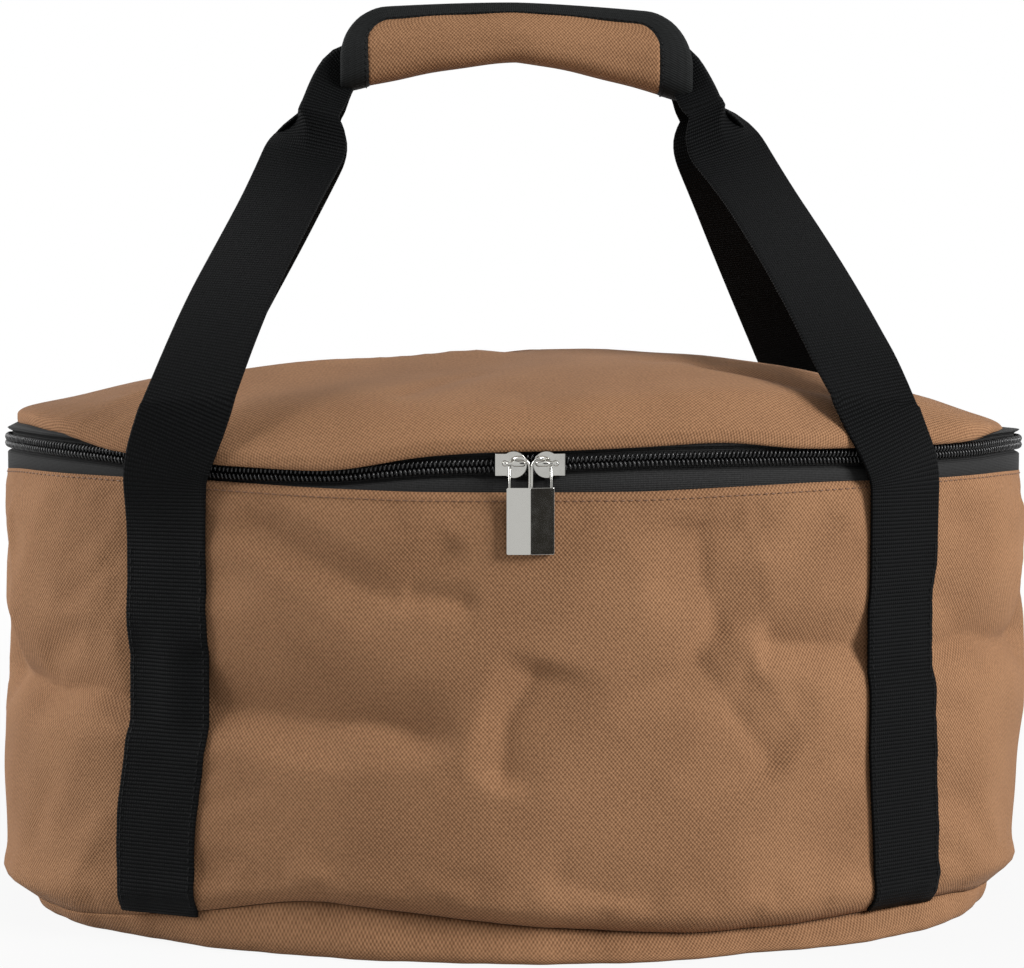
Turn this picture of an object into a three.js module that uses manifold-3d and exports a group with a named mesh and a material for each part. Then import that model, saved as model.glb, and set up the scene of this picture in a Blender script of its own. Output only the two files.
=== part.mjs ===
// Camping dish storage bag: an oval padded cloth bag with a zipped domed lid
// and two webbing loops whose tops are held together by a wrap grip.
// Millimetres, +Z up, front towards -Y, origin on the floor at the middle of the base.

import * as THREE from 'three';
import { mergeVertices } from 'three/addons/utils/BufferGeometryUtils.js';
import Module from 'manifold-3d';

const wasm = await Module();
wasm.setup();

// Driving dimensions: body
const bagLength = 376;
const bagDepth = 240;
const endRadius = 86;
const hemHeight = 153;
const baseRoll = 9;
const clothThickness = 0.9;
const paddingThickness = 4;
const liningThickness = 0.7;
const boardThickness = 3;
const seamTapeWidth = 12;
const seamTapeThickness = 1;
const clearance = 0.3;

// Driving dimensions: zip
const zipRise = 10.5;
const coilWidth = 2.85;
const coilThickness = 2.6;
const coilGap = 0.3;
const coilParting = 1.2;
const tapeThickness = 0.6;
const tapeTuck = 9;
const hingeLength = 150;

// Driving dimensions: lid
const lidEdgeRise = 6;
const lidSkirt = 4;
const lidRise = 24.5;

// Driving dimensions: zip sliders and pulls
const sliderLength = 10.6;
const sliderHeight = 9.4;
const sliderPlate = 1.2;
const sliderSpacing = 2;
const sliderLip = 0.9;
const sliderNose = 1.4;
const sliderPost = 1.8;
const tapeSlot = 1.5;
const channelClearance = 0.35;
const bridgeBar = 1.4;
const bridgeSetback = 1.2;
const pullWidth = 8.2;
const pullLength = 30;
const pullThickness = 1.3;
const pullFrame = 1.65;
const pullWindow = 7.2;

// Driving dimensions: webbing and grip
const strapWidth = 30;
const strapThickness = 1.4;
const strapInset = 63;
const strapFree = 17.5;
const strapUpright = 21;
const leanDelay = 10;
const strapBendRun = 42;
const strapTwistRun = 36;
const strapStandOff = 1;
const overallHeight = 330;
const foldedWidth = 13;
const foldRun = 24;
const gripExit = 2.5;
const shoulderReach = 5;
const shoulderRun = 14;
const gripLength = 127;
const gripHeight = 26.5;
const gripDroop = 8;
const gripPanel = 2.2;
const gripBelly = 6;
const gripCorner = 4;
const gripNeck = 3;
const gripBinding = 6;
const fastenerThickness = 0.6;
const strapLift = 0.7;

// Shares that shape the curves
const endRadiusShare = 0.95;
const leanReachShare = 0.2;
const leanLowShare = 0.4;
const leanHighShare = 0.72;
const domeFullness = 1.6;
const domeRingShares = [0.97, 0.87, 0.68, 0.38];

// Steps of the faceted curves, and the least turn between two of them
const frontSteps = 14;
const endSteps = 10;
const strapStep = 6;
const gripSteps = 12;
const arcSteps = 4;
const leastTurn = 0.004;

// Oval footprint: four tangent arcs, each point named by the direction it faces (0 is the front)
const ovalEnd = Math.min(endRadius, endRadiusShare * bagDepth / 2);
const endCentre = bagLength / 2 - ovalEnd;
const depthOverEnd = bagDepth / 2 - ovalEnd;
const faceCentre = (endCentre ** 2 - depthOverEnd ** 2) / (2 * depthOverEnd);
const faceRadius = bagDepth / 2 + faceCentre;
const joinAngle = Math.atan2(endCentre, faceCentre);

// Heights and layers that follow from the driving dimensions
const zipHeight = hemHeight + zipRise;
const lidEdge = zipHeight + lidEdgeRise;
const lidShoulder = lidEdge + lidSkirt;
const tapeOuter = -clothThickness - clearance;
const tapeInner = tapeOuter - tapeThickness;
const tapeMiddle = (tapeOuter + tapeInner) / 2;
const paddingOuter = tapeInner - clearance;
const paddingInner = paddingOuter - paddingThickness;
const liningOuter = paddingInner - clearance;
const liningInner = liningOuter - liningThickness;
const boardBottom = clothThickness + clearance;
const baseLiningBottom = boardBottom + boardThickness + clearance;
const floorInside = baseLiningBottom + liningThickness;
const hingeAngle = Math.asin(hingeLength / 2 / faceRadius);
const zipEnd = Math.PI - hingeAngle;
const strapSpread = bagLength / 2 - strapInset;
const strapAngle = Math.asin(strapSpread / faceRadius);
const sewnTop = hemHeight - strapFree;
const bendRise = strapFree + strapUpright;
const gripHalf = gripLength / 2;
const gripFold = overallHeight - gripHeight;
const strapTop = gripFold + gripPanel + clearance + foldedWidth / 2 + strapLift;
const foldedThickness = 2 * strapThickness + clearance / 2;

const materials = {
  cloth: { color: 0x7d5f42, roughness: 0.85, metalness: 0 },
  lining: { color: 0x4a4642, roughness: 0.8, metalness: 0 },
  foam: { color: 0xd8d6d0, roughness: 0.95, metalness: 0 },
  board: { color: 0x3a3a3c, roughness: 0.6, metalness: 0 },
  webbing: { color: 0x17171a, roughness: 0.8, metalness: 0 },
  zip: { color: 0x141416, roughness: 0.6, metalness: 0 },
  nickel: { color: 0xb9b9bd, roughness: 0.2, metalness: 1 },
};

const bag = new THREE.Group();

function addMesh(name, geometry, look, parent = bag) {
  const mesh = new THREE.Mesh(geometry, new THREE.MeshStandardMaterial(materials[look]));
  mesh.name = name;
  parent.add(mesh);
}

function smoothStep(value) {
  const t = THREE.MathUtils.clamp(value, 0, 1);
  return t * t * (3 - 2 * t);
}

// A closed body from its points and triangles, turned so that its faces point out
function closedBody(points, triangles) {
  let volume = 0;
  for (let i = 0; i < triangles.length; i += 3) {
    const [a, b, c] = [0, 1, 2].map((j) => points[triangles[i + j]]);
    volume += a.dot(new THREE.Vector3().crossVectors(b, c));
  }
  const geometry = new THREE.BufferGeometry().setFromPoints(points);
  geometry.setIndex(volume < 0 ? triangles.toReversed() : triangles);
  geometry.computeVertexNormals();
  return geometry;
}

// Joins rings of points, each ring alike in count, and caps the ends with the given triangles
function loft(rings, closed, capTriangles = []) {
  const count = rings[0].length;
  const triangles = [];
  const spans = closed ? rings.length : rings.length - 1;
  for (let i = 0; i < spans; i += 1) {
    const here = i * count;
    const there = ((i + 1) % rings.length) * count;
    for (let j = 0; j < count; j += 1) {
      const k = (j + 1) % count;
      triangles.push(here + j, here + k, there + k, here + j, there + k, there + j);
    }
  }
  const last = (rings.length - 1) * count;
  for (const [a, b, c] of capTriangles) {
    triangles.push(a, c, b, last + a, last + b, last + c);
  }
  return closedBody(rings.flat(), triangles);
}

// Cap triangles of a flat section, matched to the winding that loft expects
function capOf(section) {
  const outline = section.map(([x, y]) => new THREE.Vector2(x, y));
  const faces = THREE.ShapeUtils.triangulateShape(outline, []);
  return THREE.ShapeUtils.isClockWise(outline) ? faces.map(([a, b, c]) => [a, c, b]) : faces;
}

// Cap triangles of a four-cornered section
function squareCap() {
  return [[0, 1, 2], [0, 2, 3]];
}

function ovalPoint(facing, offset, z) {
  const turn = Math.atan2(Math.sin(facing), Math.cos(facing));
  const side = Math.abs(turn);
  if (side <= joinAngle || side >= Math.PI - joinAngle) {
    const radius = faceRadius + offset;
    const shift = side <= joinAngle ? faceCentre : -faceCentre;
    return new THREE.Vector3(radius * Math.sin(turn), shift - radius * Math.cos(turn), z);
  }
  const radius = ovalEnd + offset;
  const centre = Math.sign(turn) * endCentre;
  return new THREE.Vector3(centre + radius * Math.sin(turn), -radius * Math.cos(turn), z);
}

// Directions round the whole oval, starting at the back and running by the left, front and right
function ovalFacings() {
  const corners = [-Math.PI, joinAngle - Math.PI, -joinAngle, joinAngle, Math.PI - joinAngle, Math.PI];
  const steps = [frontSteps / 2, endSteps, frontSteps, endSteps, frontSteps / 2];
  const facings = [];
  steps.forEach((count, i) => {
    for (let j = 0; j < count; j += 1) {
      facings.push(THREE.MathUtils.lerp(corners[i], corners[i + 1], j / count));
    }
  });
  return facings;
}

// Directions between two ends, with the shared ones in between and any extra ones asked for
function facingsBetween(from, to, extra = []) {
  const turns = ovalFacings().flatMap((f) => [f, f + 2 * Math.PI]);
  const inside = [...turns, ...extra].filter((f) => f > from + leastTurn && f < to - leastTurn);
  inside.sort((a, b) => a - b);
  const kept = inside.filter((f, i) => extra.includes(f) || !inside.some(
    (g, j) => j !== i && Math.abs(g - f) < leastTurn && (extra.includes(g) || j < i)));
  return [from, ...kept, to];
}

// Sweeps a section of [offset, height] points round the oval; the section may change with the direction
function sweepRound(facings, closed, sectionAt) {
  const rings = facings.map((f) => sectionAt(f).map(([offset, z]) => ovalPoint(f, offset, z)));
  return loft(rings, closed, closed ? [] : capOf(sectionAt(facings[0])));
}

function rectangle(inner, outer, bottom, top) {
  return [[inner, bottom], [outer, bottom], [outer, top], [inner, top]];
}

function ringWall(inner, outer, bottom, top) {
  return sweepRound(ovalFacings(), true, () => rectangle(inner, outer, bottom, top));
}

// A body that covers the oval: rings of {scale, offset, z} between a lower and an upper middle point
function ovalCover(firstZ, rings, lastZ) {
  const facings = ovalFacings();
  const count = facings.length;
  const points = rings.flatMap(({ scale, offset, z }) => facings.map((f) => {
    const p = ovalPoint(f, offset, z);
    return new THREE.Vector3(p.x * scale, p.y * scale, z);
  }));
  const first = points.length;
  points.push(new THREE.Vector3(0, 0, firstZ), new THREE.Vector3(0, 0, lastZ));
  const triangles = [];
  const last = (rings.length - 1) * count;
  for (let j = 0; j < count; j += 1) {
    const k = (j + 1) % count;
    triangles.push(first, k, j, first + 1, last + j, last + k);
    for (let i = 0; i < rings.length - 1; i += 1) {
      const here = i * count;
      const there = here + count;
      triangles.push(here + j, here + k, there + k, here + j, there + k, there + j);
    }
  }
  return closedBody(points, triangles);
}

// Base: a cloth tray whose edge rolls up to the wall, a stiff board and its lining
function basePanel() {
  const rollTo = (radius, step) => {
    const angle = (step / arcSteps) * Math.PI / 2;
    return { scale: 1, offset: radius * Math.sin(angle) - baseRoll, z: baseRoll - radius * Math.cos(angle) };
  };
  const steps = Array.from({ length: arcSteps + 1 }, (_, i) => i);
  const outside = steps.map((i) => rollTo(baseRoll, i));
  const inside = steps.toReversed().map((i) => rollTo(baseRoll - clothThickness, i));
  return ovalCover(0, [...outside, ...inside], clothThickness);
}

function flatOval(offset, bottom, thickness) {
  const top = bottom + thickness;
  return ovalCover(bottom, [{ scale: 1, offset, z: bottom }, { scale: 1, offset, z: top }], top);
}

function addBase() {
  addMesh('base_panel', basePanel(), 'cloth');
  const tapeSeat = liningInner - clearance;
  addMesh('base_board', flatOval(Math.min(-baseRoll, tapeSeat), boardBottom, boardThickness), 'board');
  addMesh('base_lining', flatOval(tapeSeat, baseLiningBottom, liningThickness), 'lining');
  const tapeBottom = floorInside + clearance;
  const tape = ringWall(tapeSeat - seamTapeThickness, tapeSeat, tapeBottom, tapeBottom + seamTapeWidth);
  addMesh('base_seam_tape', tape, 'webbing');
}

// Wall: front and back cloth panels that meet at the side seams, padding and lining
function addWall() {
  const bottom = baseRoll + clearance;
  const sideSeam = clearance / 2 / ovalEnd;
  const section = () => rectangle(-clothThickness, 0, bottom, hemHeight);
  const front = facingsBetween(sideSeam - Math.PI / 2, Math.PI / 2 - sideSeam);
  const back = facingsBetween(Math.PI / 2 + sideSeam, 1.5 * Math.PI - sideSeam);
  addMesh('front_wall', sweepRound(front, false, section), 'cloth');
  addMesh('back_wall', sweepRound(back, false, section), 'cloth');
  addMesh('wall_padding', ringWall(paddingInner, paddingOuter, bottom, hemHeight - clearance), 'foam');
  addMesh('wall_lining', ringWall(liningInner, liningOuter, floorInside + clearance, hemHeight), 'lining');
}

// Zip: each row of coil leaves the middle between the two sliders, and its tape follows
const partedTo = sliderSpacing / 2 + sliderNose + sliderPost + clearance;
const closedFrom = Math.max(sliderSpacing / 2 + sliderLength / 2 - clearance, partedTo + clearance);

function partingAt(facing) {
  const x = Math.abs(ovalPoint(facing, tapeMiddle, 0).x);
  const nearFront = Math.cos(facing) > 0;
  const parted = THREE.MathUtils.clamp((closedFrom - x) / (closedFrom - partedTo), 0, 1);
  return nearFront ? coilParting * parted : 0;
}

function zipFacings() {
  const marks = [-closedFrom, -partedTo, partedTo, closedFrom];
  const extra = marks.map((x) => Math.asin(x / (faceRadius + tapeMiddle)));
  return facingsBetween(-zipEnd, zipEnd, extra);
}

// One row of coil and its tape, on the side given: -1 below the middle of the zip, 1 above it
function addZipSide(side, prefix, tapeHidden) {
  const near = coilGap / 2;
  const far = near + coilWidth;
  const heightAt = (facing, away) => zipHeight + side * (away + partingAt(facing));
  const half = coilThickness / 2;
  const waist = half / 2;
  const coil = (f) => [
    [tapeMiddle - waist, heightAt(f, near)], [tapeMiddle + waist, heightAt(f, near)],
    [tapeMiddle + half, heightAt(f, (near + far) / 2)],
    [tapeMiddle + waist, heightAt(f, far)], [tapeMiddle - waist, heightAt(f, far)],
    [tapeMiddle - half, heightAt(f, (near + far) / 2)],
  ];
  const tape = (f) => rectangle(tapeInner, tapeOuter, heightAt(f, far + clearance), tapeHidden);
  addMesh(`${prefix}_zip_coil`, sweepRound(zipFacings(), false, coil), 'zip');
  addMesh(`${prefix}_zip_tape`, sweepRound(zipFacings(), false, tape), 'zip');
}

function addZip() {
  addZipSide(-1, 'lower', hemHeight - tapeTuck);
  addZipSide(1, 'upper', lidShoulder - clearance);
  const gap = clearance / faceRadius;
  const facings = facingsBetween(zipEnd + gap, Math.PI + hingeAngle - gap);
  const hinge = () => rectangle(-clothThickness, 0, hemHeight + clearance, lidEdge - clearance);
  addMesh('lid_hinge_cloth', sweepRound(facings, false, hinge), 'cloth');
}

// Lid: a short upright skirt under a soft dome, each layer inside the one before
function domeHeight(scale) {
  return (1 - scale ** 2) ** (1 / domeFullness);
}

function lidShell(outer, inner, bottom) {
  const surface = (offset) => {
    const rise = lidRise + offset;
    const domeRing = (scale) => ({ scale, offset, z: lidShoulder + rise * domeHeight(scale) });
    const dome = domeRingShares.map(domeRing);
    return [{ scale: 1, offset, z: bottom }, { scale: 1, offset, z: lidShoulder }, ...dome];
  };
  const below = surface(inner).toReversed();
  const crown = lidShoulder + lidRise;
  return ovalCover(crown + inner, [...below, ...surface(outer)], crown + outer);
}

function addLid() {
  addMesh('lid_panel', lidShell(0, -clothThickness, lidEdge), 'cloth');
  addMesh('lid_padding', lidShell(paddingOuter, paddingInner, lidEdge), 'foam');
  addMesh('lid_lining', lidShell(liningOuter, liningInner, lidEdge), 'lining');
}

// A three.js shape pushed out towards the front: shape x is along the zip and shape y is up
function plate(shape, back, front) {
  const geometry = new THREE.ExtrudeGeometry(shape, {
    depth: front - back, bevelEnabled: false, curveSegments: arcSteps,
  });
  return geometry.rotateX(Math.PI / 2).translate(0, -back, 0);
}

function boxShape(left, right, bottom, top) {
  const corners = [[left, bottom], [right, bottom], [right, top], [left, top]];
  return new THREE.Shape(corners.map(([x, y]) => new THREE.Vector2(x, y)));
}

function toSolid(geometry) {
  geometry.deleteAttribute('normal');
  geometry.deleteAttribute('uv');
  const merged = mergeVertices(geometry);
  const vertProperties = new Float32Array(merged.attributes.position.array);
  const triVerts = new Uint32Array(merged.index.array);
  return new wasm.Manifold(new wasm.Mesh({ numProp: 3, vertProperties, triVerts }));
}

function joined(geometries) {
  const [first, ...others] = geometries.map(toSolid);
  const { vertProperties, triVerts } = others.reduce((sum, next) => sum.add(next), first).getMesh();
  const points = [];
  for (let i = 0; i < vertProperties.length; i += 3) {
    points.push(new THREE.Vector3().fromArray(vertProperties, i));
  }
  return closedBody(points, [...triVerts]);
}

function mirrored(geometry) {
  const points = [];
  const place = geometry.attributes.position;
  for (let i = 0; i < place.count; i += 1) {
    points.push(new THREE.Vector3(-place.getX(i), place.getY(i), place.getZ(i)));
  }
  return closedBody(points, [...geometry.index.array]);
}

// Slider, with its nose towards +x: two plates joined by a post, lips that leave a slot for each tape,
// and a bridge bar in front that the pull hangs from
const channelHalf = coilThickness / 2 + channelClearance;
const plateFront = channelHalf + sliderPlate;
const pullSlot = pullThickness + 2 * clearance + channelClearance;
const tailHalf = coilGap / 2 + coilWidth + clearance + sliderLip;
const bridgeNose = sliderLength / 2 - bridgeSetback;

function sliderOutline() {
  const half = sliderLength / 2;
  const wing = Math.max(sliderHeight / 2, tailHalf + clearance);
  const shape = new THREE.Shape();
  shape.moveTo(-half, -tailHalf);
  shape.lineTo(0, -tailHalf);
  shape.quadraticCurveTo(half / 2, -wing, half, -wing / 2);
  shape.lineTo(half - sliderNose / 2, 0);
  shape.lineTo(half, wing / 2);
  shape.quadraticCurveTo(half / 2, wing, 0, tailHalf);
  shape.lineTo(-half, tailHalf);
  shape.closePath();
  return shape;
}

function sliderBody() {
  const half = sliderLength / 2;
  const weld = sliderPlate / 2;
  const pieces = [
    plate(sliderOutline(), channelHalf, plateFront),
    plate(sliderOutline(), -plateFront, -channelHalf),
  ];
  const postRight = half - sliderNose;
  const postHalf = coilParting + coilGap / 2 - clearance;
  const post = boxShape(postRight - sliderPost, postRight, -postHalf, postHalf);
  pieces.push(plate(post, -channelHalf - weld, channelHalf + weld));
  for (const side of [-1, 1]) {
    const edges = [side * tailHalf, side * (tailHalf - sliderLip)].sort((a, b) => a - b);
    const lip = boxShape(-half, -clearance, ...edges);
    pieces.push(plate(lip, tapeSlot / 2, channelHalf + weld));
    pieces.push(plate(lip, -channelHalf - weld, -tapeSlot / 2));
  }
  const bar = bridgeBar / 2;
  const barBack = plateFront + pullSlot;
  pieces.push(plate(boxShape(-half, bridgeNose, -bar, bar), barBack, barBack + bridgeBar));
  for (const left of [-half, bridgeNose - bridgeBar]) {
    pieces.push(plate(boxShape(left, left + bridgeBar, -bar, bar), plateFront - weld, barBack + bar));
  }
  return joined(pieces);
}

// Pull: a plate with a window at the top that hangs on the bridge's nose end
function pullTab() {
  const right = bridgeNose + clearance + pullFrame;
  const left = right - pullWidth;
  const windowTop = bridgeBar / 2 + clearance;
  const top = windowTop + pullFrame;
  const cut = pullFrame / 2;
  const bottom = top - pullLength;
  const shape = new THREE.Shape();
  shape.moveTo(left + cut, bottom);
  shape.lineTo(right - cut, bottom);
  shape.quadraticCurveTo(right, bottom, right, bottom + cut);
  shape.lineTo(right, top - pullFrame);
  shape.quadraticCurveTo(right, top, right - pullFrame, top);
  shape.lineTo(left + pullFrame, top);
  shape.quadraticCurveTo(left, top, left, top - pullFrame);
  shape.lineTo(left, bottom + cut);
  shape.quadraticCurveTo(left, bottom, left + cut, bottom);
  shape.holes.push(boxShape(left + pullFrame, right - pullFrame, windowTop - pullWindow, windowTop));
  const back = plateFront + clearance + channelClearance;
  return joined([plate(shape, back, back + pullThickness)]);
}

function addSliders() {
  const body = sliderBody();
  const pull = pullTab();
  const reach = (sliderSpacing + sliderLength) / 2;
  const facing = Math.asin(reach / (faceRadius + tapeMiddle));
  for (const [name, side] of [['left', -1], ['right', 1]]) {
    const group = new THREE.Group();
    group.position.copy(ovalPoint(side * facing, tapeMiddle, zipHeight));
    group.rotation.z = side * facing;
    bag.add(group);
    addMesh(`${name}_slider`, side < 0 ? body : mirrored(body), 'nickel', group);
    addMesh(`${name}_pull`, side < 0 ? pull : mirrored(pull), 'nickel', group);
  }
}

// Side view of a handle loop, as distance from the middle plane and height: upright past the zip from the
// top of its stitching, leaning in over the lid, and upright again inside the grip
const strapOffset = clearance + strapThickness / 2;
const strapMeet = clearance + foldedThickness / 2;

function loopSideView() {
  const innerEdge = Math.asin((strapSpread - strapWidth / 2) / faceRadius);
  const footOut = -ovalPoint(innerEdge, strapOffset + strapStandOff, 0).y;
  const bend = new THREE.Vector2(footOut, sewnTop + bendRise + leanDelay);
  const gripFoot = new THREE.Vector2(strapMeet, strapTop - gripDroop - foldedWidth);
  const rise = gripFoot.y - bend.y;
  const leanedTo = THREE.MathUtils.lerp(footOut, strapMeet, leanReachShare);
  const leanOut = new THREE.Vector2(leanedTo, bend.y + leanLowShare * rise);
  const leanIn = new THREE.Vector2(strapMeet, bend.y + leanHighShare * rise);
  const view = new THREE.CurvePath();
  view.add(new THREE.LineCurve(new THREE.Vector2(footOut, sewnTop), bend));
  view.add(new THREE.CubicBezierCurve(bend, leanOut, leanIn, gripFoot));
  view.add(new THREE.LineCurve(gripFoot, new THREE.Vector2(strapMeet, strapTop + foldedWidth)));
  return view;
}

const sideView = loopSideView();
const sideLength = sideView.getLength();
const topRun = sideLength - foldedWidth;

// Half of a loop laid flat, as [across, run]: up from the wall, in to the grip and along its arch
function loopLaidFlat() {
  const foot = new THREE.Vector2(strapSpread, 0);
  const bend = new THREE.Vector2(strapSpread, bendRise);
  const exit = gripHalf + gripExit;
  const exitDroop = gripDroop * (exit / gripHalf) ** 2;
  const gripEnd = new THREE.Vector2(exit, topRun - exitDroop);
  const endSlope = 2 * exitDroop / exit;
  const shoulder = new THREE.Vector2(exit + shoulderReach, gripEnd.y - endSlope * shoulderReach);
  const shoulderFoot = shoulder.clone().addScaledVector(bend.clone().sub(shoulder).normalize(), shoulderRun);
  const half = new THREE.CurvePath();
  half.add(new THREE.LineCurve(foot, bend));
  half.add(new THREE.LineCurve(bend, shoulderFoot));
  half.add(new THREE.QuadraticBezierCurve(shoulderFoot, shoulder, gripEnd));
  const archTop = new THREE.Vector2(0, topRun);
  half.add(new THREE.QuadraticBezierCurve(gripEnd, new THREE.Vector2(exit / 2, topRun), archTop));
  return half;
}

const laidFlat = loopLaidFlat();
const halfRun = laidFlat.getLength();
const foldedFrom = laidFlat.getCurveLengths()[1];

// A point of the laid-flat loop put in place; by its stitching it still follows the wall's curve
function strapPoint(across, run, eased) {
  const { x: out, y: height } = sideView.getPointAt(THREE.MathUtils.clamp(run / sideLength, 0, 1));
  const onWall = ovalPoint(strapAngle + (across - strapSpread) / faceRadius, strapOffset, sewnTop + run);
  return onWall.lerp(new THREE.Vector3(across, -out, height), eased);
}

function strapStation(distance) {
  const at = THREE.MathUtils.clamp(distance / halfRun, 0, 1);
  const middle = laidFlat.getPointAt(at);
  const along = laidFlat.getTangentAt(at);
  const folded = THREE.MathUtils.clamp((distance - foldedFrom + foldRun) / foldRun, 0, 1);
  const half = THREE.MathUtils.lerp(strapWidth, foldedWidth, folded) / 2;
  const thick = THREE.MathUtils.lerp(strapThickness, foldedThickness, folded);
  const eased = smoothStep(distance / strapTwistRun);
  const edges = [-half, half].map(
    (side) => strapPoint(middle.x + side * along.y, middle.y - side * along.x, eased));
  return { edges, thick };
}

// Four corners round each station, pushed apart by the thickness along the strap's face
function strapRings(stations) {
  const middles = stations.map(({ edges: [a, b] }) => a.clone().add(b).multiplyScalar(0.5));
  return stations.map(({ edges: [a, b], thick }, i) => {
    const along = middles[Math.min(i + 1, middles.length - 1)].clone().sub(middles[Math.max(i - 1, 0)]);
    const face = b.clone().sub(a).cross(along).setLength(thick / 2);
    return [a.clone().sub(face), b.clone().sub(face), b.clone().add(face), a.clone().add(face)];
  });
}

function flipped(rings, acrossSign, depthSign) {
  return rings.map((ring) => ring.map((p) => new THREE.Vector3(p.x * acrossSign, p.y * depthSign, p.z)));
}

function spread(from, to, step) {
  const count = Math.max(2, Math.round((to - from) / step));
  return Array.from({ length: count + 1 }, (_, i) => THREE.MathUtils.lerp(from, to, i / count));
}

function addStraps() {
  const halfAngle = strapWidth / 2 / faceRadius;
  const bottom = baseRoll + 2 * clearance;
  const legFacings = spread(strapAngle - halfAngle, strapAngle + halfAngle, halfAngle / 2);
  const legSection = rectangle(clearance, clearance + strapThickness, bottom, sewnTop - clearance);
  const legRings = legFacings.map((f) => legSection.map(([offset, z]) => ovalPoint(f, offset, z)));
  const bendStations = spread(0, strapBendRun - clearance, strapStep / 2).map(strapStation);
  const bendRings = strapRings(bendStations);
  for (const [faceName, depthSign] of [['front', 1], ['back', -1]]) {
    for (const [sideName, acrossSign] of [['left', -1], ['right', 1]]) {
      const name = `${faceName}_${sideName}_strap`;
      addMesh(name, loft(flipped(legRings, acrossSign, depthSign), false, squareCap()), 'webbing');
      addMesh(`${name}_bend`, loft(flipped(bendRings, acrossSign, depthSign), false, squareCap()), 'webbing');
    }
  }
}

function addLoops() {
  const rightHalf = strapRings(spread(strapBendRun, halfRun, strapStep).map(strapStation));
  const leftHalf = flipped(rightHalf, -1, 1).toReversed().slice(1);
  const rings = [...rightHalf, ...leftHalf];
  addMesh('front_loop', loft(flipped(rings, 1, 1), false, squareCap()), 'webbing');
  addMesh('back_loop', loft(flipped(rings, 1, -1), false, squareCap()), 'webbing');
}

// Grip: two padded sides that share a fold underneath, swell round the straps and close above them.
// The middle line of one side runs from the fold to the free edge, as [out from the middle, up from the fold]
const closedOut = clearance / 2 + fastenerThickness + clearance + gripPanel / 2;
const panelTop = gripHeight - gripBinding;
const neckTop = panelTop - gripPanel / 2;
const neckBottom = neckTop - gripNeck;

function gripSideLine() {
  const half = gripPanel / 2;
  const line = new THREE.Path();
  line.moveTo(clearance / 2, half);
  line.lineTo(gripBelly - gripCorner, half);
  line.quadraticCurveTo(gripBelly, half, gripBelly, half + gripCorner);
  line.lineTo(gripBelly, neckBottom);
  const neckMiddle = neckBottom + gripNeck / 2;
  line.bezierCurveTo(gripBelly, neckMiddle, closedOut, neckMiddle, closedOut, neckTop);
  line.lineTo(closedOut, panelTop);
  return line.getPoints(arcSteps);
}

// The section of a bent strip: the points either side of its middle line
function stripSection(line) {
  const half = gripPanel / 2;
  const sides = [-1, 1].map((s) => line.map((p, i) => {
    const along = line[Math.min(i + 1, line.length - 1)].clone().sub(line[Math.max(i - 1, 0)]).normalize();
    return [p.x - s * half * along.y, p.y + s * half * along.x];
  }));
  return [...sides[0], ...sides[1].toReversed()];
}

// Carries a section along the grip's arch between two places across the bag
function gripSweep(section, from, to, depthSign) {
  const places = spread(from, to, gripLength / gripSteps);
  const rings = places.map((x) => {
    const fold = gripFold - gripDroop * (x / gripHalf) ** 2;
    return section.map(([out, up]) => new THREE.Vector3(x, -depthSign * out, fold + up));
  });
  return loft(rings, false, capOf(section));
}

function addGripSide(name, fastener, depthSign) {
  const line = gripSideLine();
  const panelSection = stripSection(line);
  const edge = [new THREE.Vector2(closedOut, panelTop + clearance), new THREE.Vector2(closedOut, gripHeight)];
  const endLine = [...line, edge[1]];
  const panelHalf = gripHalf - gripBinding;
  const edgeHalf = panelHalf + clearance * 1.5;
  addMesh(`${name}_panel`, gripSweep(panelSection, -panelHalf, panelHalf, depthSign), 'cloth');
  const binding = joined([
    gripSweep(stripSection(edge), -edgeHalf, edgeHalf, depthSign),
    gripSweep(stripSection(endLine), -gripHalf, -panelHalf - clearance, depthSign),
    gripSweep(stripSection(endLine), panelHalf + clearance, gripHalf, depthSign),
  ]);
  addMesh(`${name}_binding`, binding, 'webbing');
  const strip = rectangle(clearance / 2, clearance / 2 + fastenerThickness, panelTop, gripHeight - clearance);
  addMesh(fastener, gripSweep(strip, -panelHalf, panelHalf, depthSign), 'webbing');
}

addBase();
addWall();
addZip();
addLid();
addSliders();
addStraps();
addLoops();
addGripSide('grip_flap', 'grip_loop_strip', 1);
addGripSide('grip_back', 'grip_hook_strip', -1);

export default bag;
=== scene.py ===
import math

import bmesh
import bpy
import numpy as np
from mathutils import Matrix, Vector


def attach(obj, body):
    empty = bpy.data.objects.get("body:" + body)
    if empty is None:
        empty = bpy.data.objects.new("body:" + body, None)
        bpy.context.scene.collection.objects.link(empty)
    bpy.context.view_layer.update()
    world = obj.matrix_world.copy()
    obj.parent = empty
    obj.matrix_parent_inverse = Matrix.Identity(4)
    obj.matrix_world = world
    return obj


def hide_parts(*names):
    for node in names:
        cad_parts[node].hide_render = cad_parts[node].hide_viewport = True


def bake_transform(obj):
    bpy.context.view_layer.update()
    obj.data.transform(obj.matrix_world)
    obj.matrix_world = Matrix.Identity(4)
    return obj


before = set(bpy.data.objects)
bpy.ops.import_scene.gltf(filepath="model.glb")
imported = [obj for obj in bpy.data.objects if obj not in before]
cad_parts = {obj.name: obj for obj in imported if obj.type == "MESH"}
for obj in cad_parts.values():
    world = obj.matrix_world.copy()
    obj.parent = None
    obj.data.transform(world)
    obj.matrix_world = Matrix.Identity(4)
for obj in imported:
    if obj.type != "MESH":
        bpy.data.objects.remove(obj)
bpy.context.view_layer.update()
mm = 0.001
nearPoint = 0.0005  # size of the last ring of a closed cover, against its first
print("frame loaded:", len(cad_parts), "nodes")

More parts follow.
